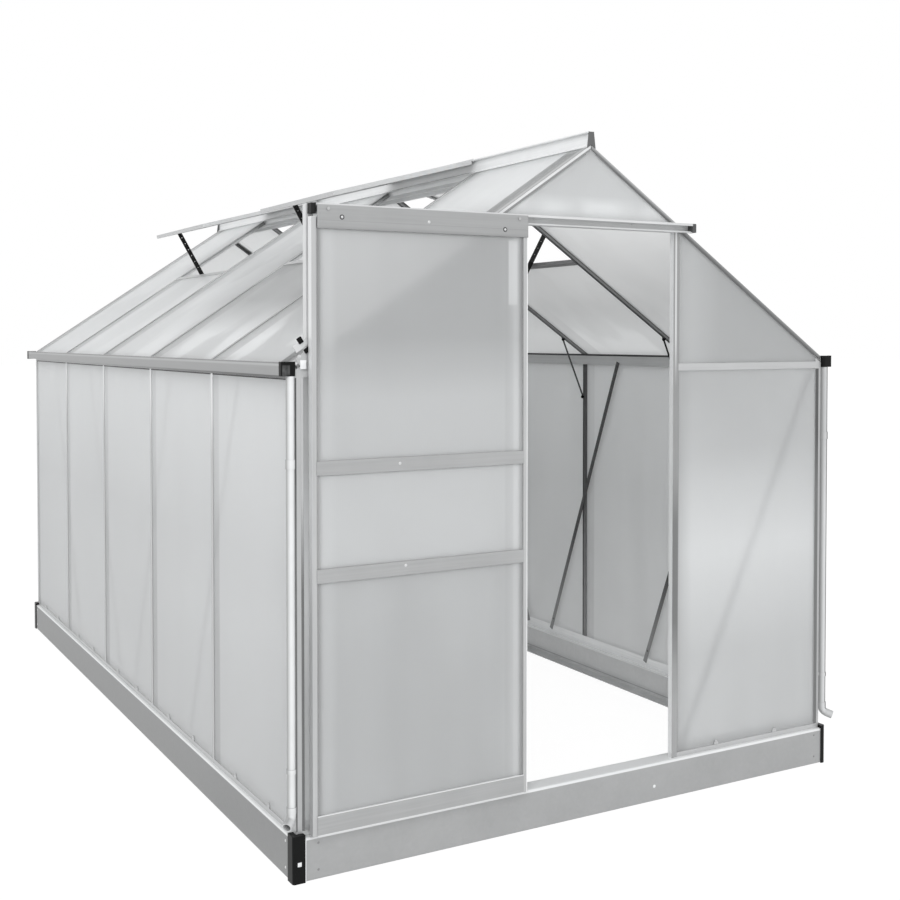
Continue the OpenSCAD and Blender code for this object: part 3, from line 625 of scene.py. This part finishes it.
def side_sheet():
    """Painted light under the eave with painted glints there, painted shade near the sill, and
    painted shade in front of the bars.
    """
    f = Sheet("twin wall side sheet", "y", tone=0.75, opacity=0.95, glow=0.42)
    # Painted light under the eave, painted shade near the sill, painted glints near the eave.
    f.tint(f.z.between(0.8, 1.28) * 0.6, 1.0)
    f.tint(f.z.between(0.6, 0.15) * 0.3, 0.55)
    glints = f.cloud(5.0, 3.0, 0.6).between(0.55, 0.75)
    f.tint(glints * f.z.between(1.1, 1.28) * 0.6, 1.0)
    f.bar_shade(52 * MM, 0.25 + 0.35 * f.z.between(1.1, 0.5), 0.4)
    return f.done()


def roof_sheet():
    """Painted reflection of a clouded sky: bright patches over the eave, darker ones higher up
    in front;
    painted light towards the far bays and high at the front, painted shade higher up in front
    and in front of the bars, and a grey strip beside the front left rafter, painted as a wider
    rafter edge with its shade."""
    f = Sheet("twin wall roof sheet", "y", tone=0.76, opacity=0.72, cloudy=0.2)
    # Painted light towards the far bays, then painted reflections of sky and painted shade.
    f.tint(f.y.between(-1.1, 0.9) * 0.95, 1.0)
    patches = f.cloud(2.3, 2.0, 0.5, f.stretched((1, 1.5, 1)))
    low = f.z.between(1.62, 1.4)
    f.tint(patches.between(0.5, 0.56) * (0.3 + 0.7 * low), 1.0)
    front = f.y.between(0.1, -0.5) * f.band(f.z, 1.6, 0.07, 0.12)
    f.tint(patches.between(0.49, 0.44) * (1 - low) * (0.15 + 0.6 * front), 0.36)
    f.tint(front * 0.75, 0.3)
    f.bar_shade(96 * MM, 0.5, 0.36)
    f.tint(f.y.between(-0.9, -1.0) * f.z.between(1.7, 1.82) * 0.9, 1.0)
    # Painted grey strip by the front left rafter: a wider rafter edge and its shade.
    flange_and_shade = f.band(f.y, FRONT_Y + 67 * MM, 32 * MM, 1 * MM) * f.x.between(0.0, -0.03)
    f.tint(flange_and_shade * (0.8 + 0.15 * f.level), 0.12)
    f.glow = 0.42 + 0.13 * f.x.between(-0.05, 0.05)
    return f.done(f.right_side() * f.z.between(1.5, 1.7) * 0.3)


def gable_sheet():
    """Painted light in the middle of the lower panels, over the doorway and at the top of the
    rear gable, with a painted reflection just above the track; painted shade higher on the lower
    panels, beside the doorway on the right above the eave, and next to the right jamb.
    """
    f = Sheet("twin wall gable sheet", "x", tone=0.72, opacity=0.84, cloudy=0.12)
    # Painted light and painted shade on the panels, and a painted reflection above the track.
    f.tint(f.band(f.z, 0.74, 0.02, 0.3) * 0.8, 1.0)
    low = 1 - f.z.between(OVER_EAVE, OVER_EAVE + 10 * MM)
    beside = f.x.size().between(HALF_DOORWAY, HALF_DOORWAY + 10 * MM) * (1 - low)
    over = (1 - f.x.size().between(HALF_DOORWAY, 0.5)) * (1 - low)
    f.tint(f.z.between(0.95, 1.25) * low * (0.25 + 0.3 * f.x.between(0.85, 0.5)), 0.5)
    f.tint(beside * f.x.between(-0.1, 0.1) * 0.75, 0.45)
    f.tint(over * 0.4, 0.9)
    f.tint(over * f.band(f.z, 1.775, 0.006, 0.03) * f.cloud(9.0).between(0.2, 0.6), 1.0)
    f.tint(f.x.between(JAMB_X - 2 * MM, JAMB_X) * f.x.between(0.39, 0.335) * 0.5, 0.42)
    rear = f.y.between(-0.1, 0.1) * f.z.between(1.6, 1.75)
    f.tint(rear, 1.0)
    return f.done(rear * 0.5)


def door_sheet():
    """Painted light makes the middle pane the lightest and painted shade the upper one the
    darkest, with painted light along the sides, a darker band near the right edge and a painted
    glare on the upper pane.
    """
    f = Sheet("twin wall door sheet", "x", tone=0.7, opacity=0.88, cloudy=0.12)
    # Painted light and shade on the panes, painted light along their sides, and a painted glare.
    middle = f.band(f.z, 0.93, 0.14, 0.01)
    f.tint(middle * 0.45, 0.95)
    f.tint(f.z.between(1.24, 1.4) * 0.5, 0.45)
    f.tint(f.z.between(1.06, 1.08) * f.z.between(1.4, 1.24) * 0.35, 0.95)
    edge = f.band(f.x, door_lo.x + 0.045, 0.008, 0.02).most(
        f.band(f.x, door_hi.x - 0.04, 0.006, 0.015))
    f.tint(edge * 0.2, 1.0)
    f.tint(f.band(f.x, door_hi.x - 0.06, 0.011, 0.006) * 0.25, 0.42)
    glare = f.band(f.x, -0.289, 0.013, 0.003) * f.band(f.z, 1.58, 0.086, 0.006)
    f.tint(glare * 0.55, 1.0)
    return f.done()


# Heights of painted highlights along the door rails' folded edges.
RAIL_RIMS = [rail_lo.z + 1 * MM, rail_lo.z + 51 * MM]

UPRIGHT = aluminium("mill aluminium upright", ALONG_Z)
# Painted shade on the right of the house.
VENT_SILL_METAL = aluminium("vent sill aluminium", ALONG_Y, right=0.16)
RIDGE_METAL = aluminium("ridge aluminium", ALONG_Y, tone=0.82, shine=0.12)
CROSSWISE = aluminium("mill aluminium crosswise", ALONG_X)
DOOR_RAIL = aluminium("door rail aluminium", ALONG_X, tone=0.41, rims=RAIL_RIMS)
TRACK_METAL = aluminium("track aluminium", ALONG_X, tone=0.66, shine=0.15)
BRIGHT_RAIL = aluminium("bright gable rail", ALONG_X, tone=0.5, shine=0.15)
BRIGHT_POST = aluminium("bright upright aluminium", ALONG_Z, tone=0.66, shine=0.2)
# Painted tones on faces that look up, and painted shade on faces that look down.
VENT_METAL = aluminium("mill aluminium vents", (10, 30, 10), tone=0.66, upper=0.62,
                       under=0.12)
# Painted shade: the base sides are the same steel as the ends, set darker.
BASE_END_STEEL = galvanised("galvanised base ends", tone=0.4, fold=0.109, inside=0.6,
                            lit=("x", cap_lo.x + CAP_LEG + 1.5 * MM))
BASE_SIDE_STEEL = galvanised("galvanised base sides", tone=0.27, fold=0.112, inside=0.66,
                             lit=("y", cap_lo.y + CAP_LEG + 1.5 * MM))
# Dark grey zinc plate, for the ridge end plates and the brace nuts.
DARK_ZINC = galvanised("charcoal zinc plate", tone=0.13)
BLACK_CAP = plastic("black moulded plastic", 0.006, 0.3, shine=0.12)
# Painted light on the right cap.
TRACK_CAP = plastic("track cap plastic", 0.014, 0.4, shine=0.2, right=0.09)
STAY_BLACK = plastic("black stay enamel", 0.008, 0.38, shine=0.2)
RUBBER = plastic("dark glazing rubber", 0.07, 0.6)
GREY_RUBBER = plastic("grey glazing rubber", 0.3, 0.6)
# Painted shade on the right of the house.
RAFTER_RUBBER = plastic("rafter glazing rubber", 0.3, 0.6, right=0.16)
SCREW_ZINC = aluminium("zinc plated screws", ALL_ROUND, tone=0.66, shine=0.4)
# Painted shade: the same zinc screws as above, set darker, for the base's ends.
SHADED_ZINC = aluminium("shaded zinc screws", ALL_ROUND, tone=0.27, shine=0.4)
WHITE_PLUG = plastic("white nylon plug", 0.85, 0.4)

NODE_FINISH = {
    BASE_END_STEEL: ["base_ends"],
    BASE_SIDE_STEEL: ["base_sides"],
    BLACK_CAP: ["base_corner_caps"],
    gutter_cap(): ["gutter_end_caps"],
    TRACK_CAP: ["track_end_caps"],
    sill_metal(): ["side_sills"],
    eave_metal(): ["eave_beams"],
    VENT_SILL_METAL: ["vent_sills"],
    RIDGE_METAL: ["ridge_beam"],
    gutter_metal(): ["gutter_fronts", "gutter_floors"],
    CROSSWISE: ["end_sills", "front_header"],
    TRACK_METAL: ["door_track"],
    BRIGHT_RAIL: ["gable_rails"],
    DOOR_RAIL: ["door_rails"],
    UPRIGHT: ["rear_posts", "corner_posts", "track_bracket"],
    stile_metal(): ["door_stiles"],
    wall_bar_metal(): ["left_wall_bars", "right_wall_bars"],
    jamb_metal(): ["front_jambs"],
    BRIGHT_POST: ["track_post"],
    rafter_metal(): ["gable_rafters"],
    roof_bar_metal(): ["left_roof_bars", "right_roof_bars"],
    VENT_METAL: ["vent_frames"],
    brace_steel(): ["diagonal_braces", "knee_braces"],
    DARK_ZINC: ["ridge_end_plates"],
    hanger_metal(): ["door_hanger"],
    pipe_plastic(): ["downpipes"],
    STAY_BLACK: ["vent_stays"],
    wheel_nylon(): ["door_rollers"],
    side_sheet(): ["left_wall_panels", "right_wall_panels"],
    roof_sheet(): ["left_roof_panels", "right_roof_panels", "vent_panels"],
    gable_sheet(): ["front_wall_panels", "front_gable_panels", "rear_wall_panels",
                    "rear_gable_panels"],
    door_sheet(): ["door_panels"],
}
for material, names in NODE_FINISH.items():
    for name in names:
        NODES[name].data.materials.clear()
        NODES[name].data.materials.append(material)


def round_edges(name, width):
    """Rounds a frame part's edges with live modifiers, leaving its mesh alone."""
    weld = NODES[name].modifiers.new("weld", "WELD")
    weld.merge_threshold = 0.01 * MM
    soften = NODES[name].modifiers.new("round", "BEVEL")
    soften.width = width
    soften.segments = 3
    soften.limit_method = "ANGLE"
    soften.angle_limit = math.radians(50)


round_edges("gutter_end_caps", 1.2 * MM)
round_edges("base_corner_caps", 1.0 * MM)
round_edges("track_end_caps", 1.5 * MM)


# ------------------------------------------------------------------ making pieces

def keep(name, mesh, material, body, smooth=False):
    """Turns a finished bmesh into a piece that rides on a body."""
    bmesh.ops.remove_doubles(mesh, verts=mesh.verts, dist=0.01 * MM)
    bmesh.ops.recalc_face_normals(mesh, faces=mesh.faces)
    data = bpy.data.meshes.new(name)
    mesh.to_mesh(data)
    mesh.free()
    data.materials.append(material)
    piece = bpy.data.objects.new(name, data)
    bpy.context.scene.collection.objects.link(piece)
    if smooth:
        data.shade_smooth()
        data.set_sharp_from_angle(angle=math.radians(35))
    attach(piece, body)


def add_at(mesh, make, spot, axis="z", turn=0.0):
    """Makes a shape with make(part), faces it along an axis and adds it at a spot."""
    part = bmesh.new()
    make(part)
    tilt = {"z": Matrix(), "x": Matrix.Rotation(math.pi / 2, 4, "Y"),
            "-x": Matrix.Rotation(-math.pi / 2, 4, "Y"),
            "y": Matrix.Rotation(-math.pi / 2, 4, "X"),
            "-y": Matrix.Rotation(math.pi / 2, 4, "X")}
    face = tilt[axis] if isinstance(axis, str) else axis
    place = Matrix.Translation(spot) @ face @ Matrix.Rotation(turn, 4, "Z")
    bmesh.ops.transform(part, matrix=place, verts=part.verts)
    data = bpy.data.meshes.new("part")
    part.to_mesh(data)
    part.free()
    mesh.from_mesh(data)
    bpy.data.meshes.remove(data)


def pan_head(radius, height):
    """Domed screw head, standing on z = 0."""
    def make(m):
        rings = 5
        profile = []
        for k in range(rings + 1):
            a = k / rings * math.pi / 2
            profile.append((radius * math.cos(a), height * math.sin(a)))
        verts = [m.verts.new((r, 0, z)) for r, z in profile]
        edges = [m.edges.new(pair) for pair in zip(verts, verts[1:])]
        bmesh.ops.spin(m, geom=verts + edges, cent=(0, 0, 0), axis=(0, 0, 1),
                       angle=2 * math.pi, steps=20, use_merge=True)
        bmesh.ops.remove_doubles(m, verts=m.verts, dist=0.001 * MM)
        bmesh.ops.holes_fill(m, edges=[e for e in m.edges if e.is_boundary], sides=0)
    return make


def hex_head(radius, height):
    """Hexagon head with a chamfered crown."""
    def make(m):
        bmesh.ops.create_cone(m, cap_ends=True, segments=6, radius1=radius, radius2=radius,
                              depth=height, matrix=Matrix.Translation((0, 0, height / 2)))
        crown = [e for e in m.edges if all(v.co.z > height * 0.9 for v in e.verts)]
        bmesh.ops.bevel(m, geom=crown, offset=radius * 0.12, offset_type="OFFSET",
                        affect="EDGES", segments=2, profile=0.5, material=-1)
    return make


def bolt(radius, height):
    """Hexagon head on a round washer."""
    def make(m):
        washer = height * 0.3
        bmesh.ops.create_cone(m, cap_ends=True, segments=20, radius1=radius * 1.5,
                              radius2=radius * 1.5, depth=washer,
                              matrix=Matrix.Translation((0, 0, washer / 2)))
        rim = [e for e in m.edges if all(v.co.z > washer * 0.9 for v in e.verts)]
        bmesh.ops.bevel(m, geom=rim, offset=washer * 0.3, offset_type="OFFSET",
                        affect="EDGES", segments=1, profile=0.5, material=-1)
        add_at(m, hex_head(radius, height - washer), (0, 0, washer))
    return make


def bar(size, round_off):
    """Bar of the given x, y, z size centred on its place, with rounded edges."""
    def make(m):
        bmesh.ops.create_cube(m, size=1.0, matrix=Matrix.Diagonal((*size, 1)))
        bmesh.ops.bevel(m, geom=m.edges[:], offset=round_off, offset_type="OFFSET",
                        affect="EDGES", segments=2, profile=0.5, material=-1)
    return make


# ------------------------------------------------------------------ screws and bolts

def out(side, axis):
    """Name of the direction that points away from the middle on a side."""
    return axis if side > 0 else "-" + axis


BASE_ENDS = ((-1, base_lo.y), (1, base_hi.y))
BASE_SCREW_ZS = (0.026, 0.096)
SIDE_SCREW_IN = 0.052
END_SCREW_IN = {-1: 0.07, 1: 0.044}
PLUG_X, PLUG_Z = 0.235, 0.046
CAP_HOLE_IN, CAP_HOLE_Z = 19 * MM, 0.05


def base_screws():
    """Pairs of screws beside every corner of the base, and nylon plugs."""
    side_m = bmesh.new()
    end_m = bmesh.new()
    head = pan_head(3.8 * MM, 1.8 * MM)
    for sx in (-1, 1):
        for sy, face in BASE_ENDS:
            for z in BASE_SCREW_ZS:
                add_at(side_m, head, (sx * base_hi.x, face - sy * SIDE_SCREW_IN, z),
                       out(sx, "x"))
                add_at(end_m, pan_head(3.4 * MM, 1.2 * MM),
                       (sx * (base_hi.x - END_SCREW_IN[sx]), face, z), out(sy, "y"))
    keep("base_side_screws", side_m, SCREW_ZINC, HOUSE, smooth=True)
    keep("base_end_screws", end_m, SHADED_ZINC, HOUSE, smooth=True)
    plugs = bmesh.new()
    for sy, face in BASE_ENDS:
        add_at(plugs, pan_head(5 * MM, 1.4 * MM), (PLUG_X, face, PLUG_Z), out(sy, "y"))
        hole = (cap_lo.x + CAP_HOLE_IN, face + sy * 1.4 * MM, CAP_HOLE_Z)
        add_at(plugs, bar((11.4 * MM, 2.6 * MM, 11.4 * MM), 0.6 * MM), hole)
    keep("base_plugs", plugs, WHITE_PLUG, HOUSE, smooth=True)


RAIL_SCREWS = ((-0.649, 1.069), (-0.632, 0.797), (-0.56, 1.708))
HANGER_BOLTS = ((-0.8175, 1.7095), (-0.318, 1.698))


def door_screws():
    """Hanger bolts and small screws on the cross rails and hanger."""
    m = bmesh.new()
    face = rail_lo.y
    for x, z in RAIL_SCREWS:
        add_at(m, pan_head(4.4 * MM, 2 * MM), (x, face, z), "-y")
    keep("door_screws", m, SCREW_ZINC, DOOR, smooth=True)
    m = bmesh.new()
    washers = bmesh.new()
    for x, z in HANGER_BOLTS:
        add_at(m, pan_head(3.8 * MM, 2.8 * MM), (x, face, z), "-y")
        add_at(washers, pan_head(6.8 * MM, 0.9 * MM), (x, face, z), "-y")
    keep("hanger_bolts", m, SCREW_ZINC, DOOR, smooth=True)
    keep("hanger_washers", washers, RUBBER, DOOR, smooth=True)


# ------------------------------------------------------------------ glazing rubber and clips

STRIP = 1.5 * MM  # thickness of the rubber strips
STRIP_EDGE = 0.4 * MM
# Beside the left and the right corner posts: distance from the wall's face, and width.
# The narrow left strip is a dark line of painted shade beside the downpipe.
CORNER_STRIPS = {-1: ((21 * MM, 7 * MM), (2.6 * MM, 4 * MM)), 1: ((16.5 * MM, 13 * MM),)}


def upright_strip(m, x, y, z0, z1, width):
    """Adds a strip of rubber that stands from z0 to z1."""
    add_at(m, bar((width, STRIP, z1 - z0), STRIP_EDGE), (x, y, (z0 + z1) / 2))


def gaskets():
    """Rubber beside the door panels, the jambs and the corner posts."""
    m = bmesh.new()
    inset = 14.6 * MM
    for x in (door_lo.x + inset, door_hi.x - inset):
        upright_strip(m, x, door_lo.y + 1 * MM, rail_lo.z + 53 * MM, plate_lo.z, 3 * MM)
    keep("door_gaskets", m, GREY_RUBBER, DOOR)
    corner = bmesh.new()
    jamb = bmesh.new()
    low = BASE_H + 15 * MM
    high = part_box("gable_rails")[0].z - 1 * MM
    for side in (-1, 1):
        for y in (FRONT_Y - 0.2 * MM, REAR_Y + 0.2 * MM):
            for inset, width in CORNER_STRIPS[side]:
                upright_strip(corner, side * (WALL_X - inset), y, low, high, width)
        x = side * (JAMB_X + 1.4 * MM)
        for z0, z1 in ((low, high), (high + 24 * MM, track_lo.z - 12 * MM)):
            upright_strip(jamb, x, FRONT_Y + 1 * MM, z0, z1, 2.4 * MM)
    keep("corner_gaskets_and_shade", corner, corner_rubber_and_shade(), HOUSE)
    keep("jamb_gaskets", jamb, GREY_RUBBER, HOUSE)


def rafter_gaskets():
    """Dark rubber under the face of each gable rafter."""
    m = bmesh.new()
    length = (WALL_X - 0.05) / math.cos(PITCH)
    drop = 12.2 * MM
    for side in (-1, 1):
        along = Matrix.Rotation(side * PITCH, 4, "Y")
        for y in (FRONT_Y + 1 * MM, REAR_Y - 1 * MM):
            middle = Vector((side * WALL_X / 2, y, EAVE_Z + WALL_X / 2 * SLOPE))
            middle -= along @ Vector((0, 0, drop))
            add_at(m, bar((length, STRIP, 3 * MM), STRIP_EDGE), middle, along)
    keep("rafter_gaskets", m, RAFTER_RUBBER, HOUSE)


def eave_seals():
    """Dark seal along the top of each side wall, under the gutter; its black also stands for
    painted shade under the gutter.
    """
    m = bmesh.new()
    eave_lo, eave_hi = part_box("eave_beams")
    length = eave_hi.y - eave_lo.y - 4 * MM
    for side in (-1, 1):
        add_at(m, bar((STRIP, length, 3 * MM), STRIP_EDGE),
               (side * (WALL_X - 1 * MM), MID_Y, eave_lo.z + 4 * MM))
    keep("eave_seals", m, RUBBER, HOUSE)


def clip(m):
    """Glazing clip: a rounded tab on a thin tongue."""
    add_at(m, bar((18 * MM, 3 * MM, 9 * MM), 1 * MM), (0, 0, 0))
    add_at(m, bar((10 * MM, 1.6 * MM, 14 * MM), 0.6 * MM), (0, 0.4 * MM, 3 * MM))


GABLE_CLIP_XS = (0.492, 0.74)
BAY_CLIPS = (0.3, 0.7)  # shares of a bay


def glazing_clips():
    """Clips that hold the wall panels down on the sills."""
    m = bmesh.new()
    z = BASE_H + 19 * MM
    for y, turn in ((FRONT_Y, 0.0), (REAR_Y, math.pi)):
        for x in GABLE_CLIP_XS:
            for side in (-1, 1):
                add_at(m, clip, (side * x, y, z), turn=turn)
    for side in (-1, 1):
        for k in range(BAYS):
            for share in BAY_CLIPS:
                y = FRONT_Y + (k + share) * BAY
                add_at(m, clip, (side * WALL_X, y, z), turn=side * math.pi / 2)
    keep("glazing_clips", m, UPRIGHT, HOUSE, smooth=True)


# ------------------------------------------------------------------ bolts of the frame and track

BRACE_RUN = 0.225  # half the way that a brace goes along the wall
BRACE_NUTS = (0.04, 0.5, 0.96)  # shares of a brace's height
KNEE_REACH = 0.118  # from a wall's face to the upper end of a knee brace


def brace_bolts():
    """Nuts along every brace and at both ends of every knee brace."""
    m = bmesh.new()
    knobs = bmesh.new()
    nut = bolt(4.2 * MM, 4.5 * MM)
    knee_lo, knee_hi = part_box("knee_braces")
    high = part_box("diagonal_braces")[1].z
    inner = 18.2 * MM
    for side in (-1, 1):
        into = out(-side, "x")
        for y in BAR_YS:
            lean = 1 if y < MID_Y else -1
            for share in BRACE_NUTS:
                z = BASE_H + 18 * MM + share * (high - BASE_H - 20 * MM)
                at = y + lean * BRACE_RUN * (1 - 2 * share)
                add_at(m, nut, (side * (WALL_X - inner), at, z), into)
            for x, z in ((WALL_X - 18 * MM, knee_lo.z + 12 * MM),
                         (WALL_X - KNEE_REACH, knee_hi.z - 14 * MM)):
                add_at(knobs, nut, (side * x, y + 10 * MM, z), "y")
                add_at(knobs, nut, (side * x, y + 7 * MM, z), "-y")
    keep("brace_bolts", m, DARK_ZINC, HOUSE)
    keep("knee_bolts", knobs, BLACK_CAP, HOUSE)


STAY_SHIFT = 36 * MM  # from the middle of a vent to its stay
STAY_PINS = ((0.4125, 1.681), (0.511, 1.852))


def stay_pins():
    """Dark pins through the stays, beside the sill and at the vent's free rail."""
    m = bmesh.new()
    for side in (-1, 1):
        for vent_y in VENT_YS:
            y = vent_y - side * STAY_SHIFT
            for x, z in STAY_PINS:
                for face in (-1, 1):
                    add_at(m, pan_head(5.5 * MM, 3 * MM), (side * x, y + face * 2 * MM, z),
                           out(face, "y"))
    keep("stay_pins", m, STAY_BLACK, HOUSE, smooth=True)


# The foot of the track's post: places x, z, and for the rubbers width and height.
FOOT_PLATE = (-0.92, 1.382)
FOOT_PACKING = (-0.9155, 1.332)
FOOT_RUBBERS = ((-0.924, 1.394, 14 * MM, 17 * MM), (-0.903, 1.37, 20 * MM, 13 * MM))
FOOT_BOLTS = ((-0.926, 1.352), (-0.892, 1.362))
TRACK_SCREW_XS = (-0.2, 0.15, 0.325)


def track_bits():
    """Plate, rubbers, white packing and bolts at the foot of the track's post, track screws."""
    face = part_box("track_bracket")[0].y
    turn = Matrix.Rotation(-PITCH, 4, "Y")
    m = bmesh.new()
    x, z = FOOT_PLATE
    add_at(m, bar((44 * MM, 3 * MM, 20 * MM), 0.8 * MM), (x, face + 1.4 * MM, z), turn)
    keep("post_foot_plate", m, SCREW_ZINC, HOUSE)
    m = bmesh.new()
    for x, z, w, h in FOOT_RUBBERS:
        add_at(m, bar((w, 7 * MM, h), 2 * MM), (x, face - 1 * MM, z), turn)
    keep("post_foot_rubbers", m, BLACK_CAP, HOUSE, smooth=True)
    m = bmesh.new()
    x, z = FOOT_PACKING
    add_at(m, bar((17 * MM, 3 * MM, 23 * MM), 1 * MM), (x, face - 1.5 * MM, z))
    keep("post_foot_packing", m, WHITE_PLUG, HOUSE, smooth=True)
    m = bmesh.new()
    for x, z in FOOT_BOLTS:
        add_at(m, bolt(3.4 * MM, 3.6 * MM), (x, face, z), "-y")
    for x in TRACK_SCREW_XS:
        spot = (x, FRONT_Y - 1.8 * MM, track_lo.z + 18 * MM)
        add_at(m, pan_head(3 * MM, 1.4 * MM), spot, "-y")
    keep("track_fixings", m, SCREW_ZINC, HOUSE, smooth=True)


for make in (base_screws, door_screws, gaskets, rafter_gaskets, eave_seals, glazing_clips,
             brace_bolts, stay_pins, track_bits):
    make()


# ------------------------------------------------------------------ floor, light, camera

def backdrop():
    """Wide pale floor that stays white to the eye and keeps the object's shadow."""
    m = bmesh.new()
    bmesh.ops.create_grid(m, x_segments=1, y_segments=1, size=60.0)
    data = bpy.data.meshes.new("floor")
    m.to_mesh(data)
    m.free()
    floor = bpy.data.objects.new("floor", data)
    bpy.context.scene.collection.objects.link(floor)
    f = Finish("white floor")
    f.set(Base_Color=colour(0.92), Roughness=0.9)
    white = f.add("ShaderNodeEmission", links={"Color": colour(1.0), "Strength": 1.06})
    mix = f.add("ShaderNodeMixShader", links={
        0: f.seen() * 0.88, 1: f.body.outputs[0], 2: white.outputs[0]})
    f.tree.links.new(mix.outputs[0], f.output.inputs["Surface"])
    data.materials.append(f.material)


def sky():
    """Soft even daylight, pure white where the eye meets it."""
    world = bpy.data.worlds.new("studio white")
    bpy.context.scene.world = world
    world.use_nodes = True
    n = Nodes(world.node_tree)
    soft = n.add("ShaderNodeBackground", links={"Color": (0.98, 0.99, 1, 1),
                                                "Strength": 0.95})
    white = n.add("ShaderNodeBackground", links={"Color": colour(1.0), "Strength": 1.0})
    mix = n.add("ShaderNodeMixShader", links=[n.seen(), soft.outputs[0], white.outputs[0]])
    n.add("ShaderNodeOutputWorld", links={"Surface": mix.outputs[0]})


def lamp(name, spot, target, power, width):
    """Square lamp that looks from a spot at a target."""
    data = bpy.data.lights.new(name, "AREA")
    data.shape = "SQUARE"
    data.size = width
    data.energy = power
    light = bpy.data.objects.new(name, data)
    bpy.context.scene.collection.objects.link(light)
    light.location = spot
    aim = Vector(target) - Vector(spot)
    light.rotation_euler = aim.to_track_quat("-Z", "Y").to_euler()


EYE = (-2.1699, -4.35255, 1.399)
TURNS = (27.87, -1.42, -0.09)  # yaw to the right of +y, pitch and roll, in degrees


def camera():
    """Eye in front of the house and to its left, a little above the eaves."""
    data = bpy.data.cameras.new("camera")
    data.lens = 48.156
    data.sensor_width = 36
    data.shift_x = 0.074
    data.shift_y = -0.091
    data.clip_end = 200
    eye = bpy.data.objects.new("camera", data)
    bpy.context.scene.collection.objects.link(eye)
    yaw, pitch, roll = (math.radians(a) for a in TURNS)
    eye.matrix_world = (
        Matrix.Translation(EYE) @ Matrix.Rotation(-yaw, 4, "Z")
        @ Matrix.Rotation(math.pi / 2 + pitch, 4, "X") @ Matrix.Rotation(roll, 4, "Z"))
    bpy.context.scene.camera = eye


backdrop()
sky()
lamp("high front left", spot=(-4, -6, 6), target=(0, 0, 1), power=190, width=4)
camera()
bpy.context.scene.view_settings.view_transform = "Standard"
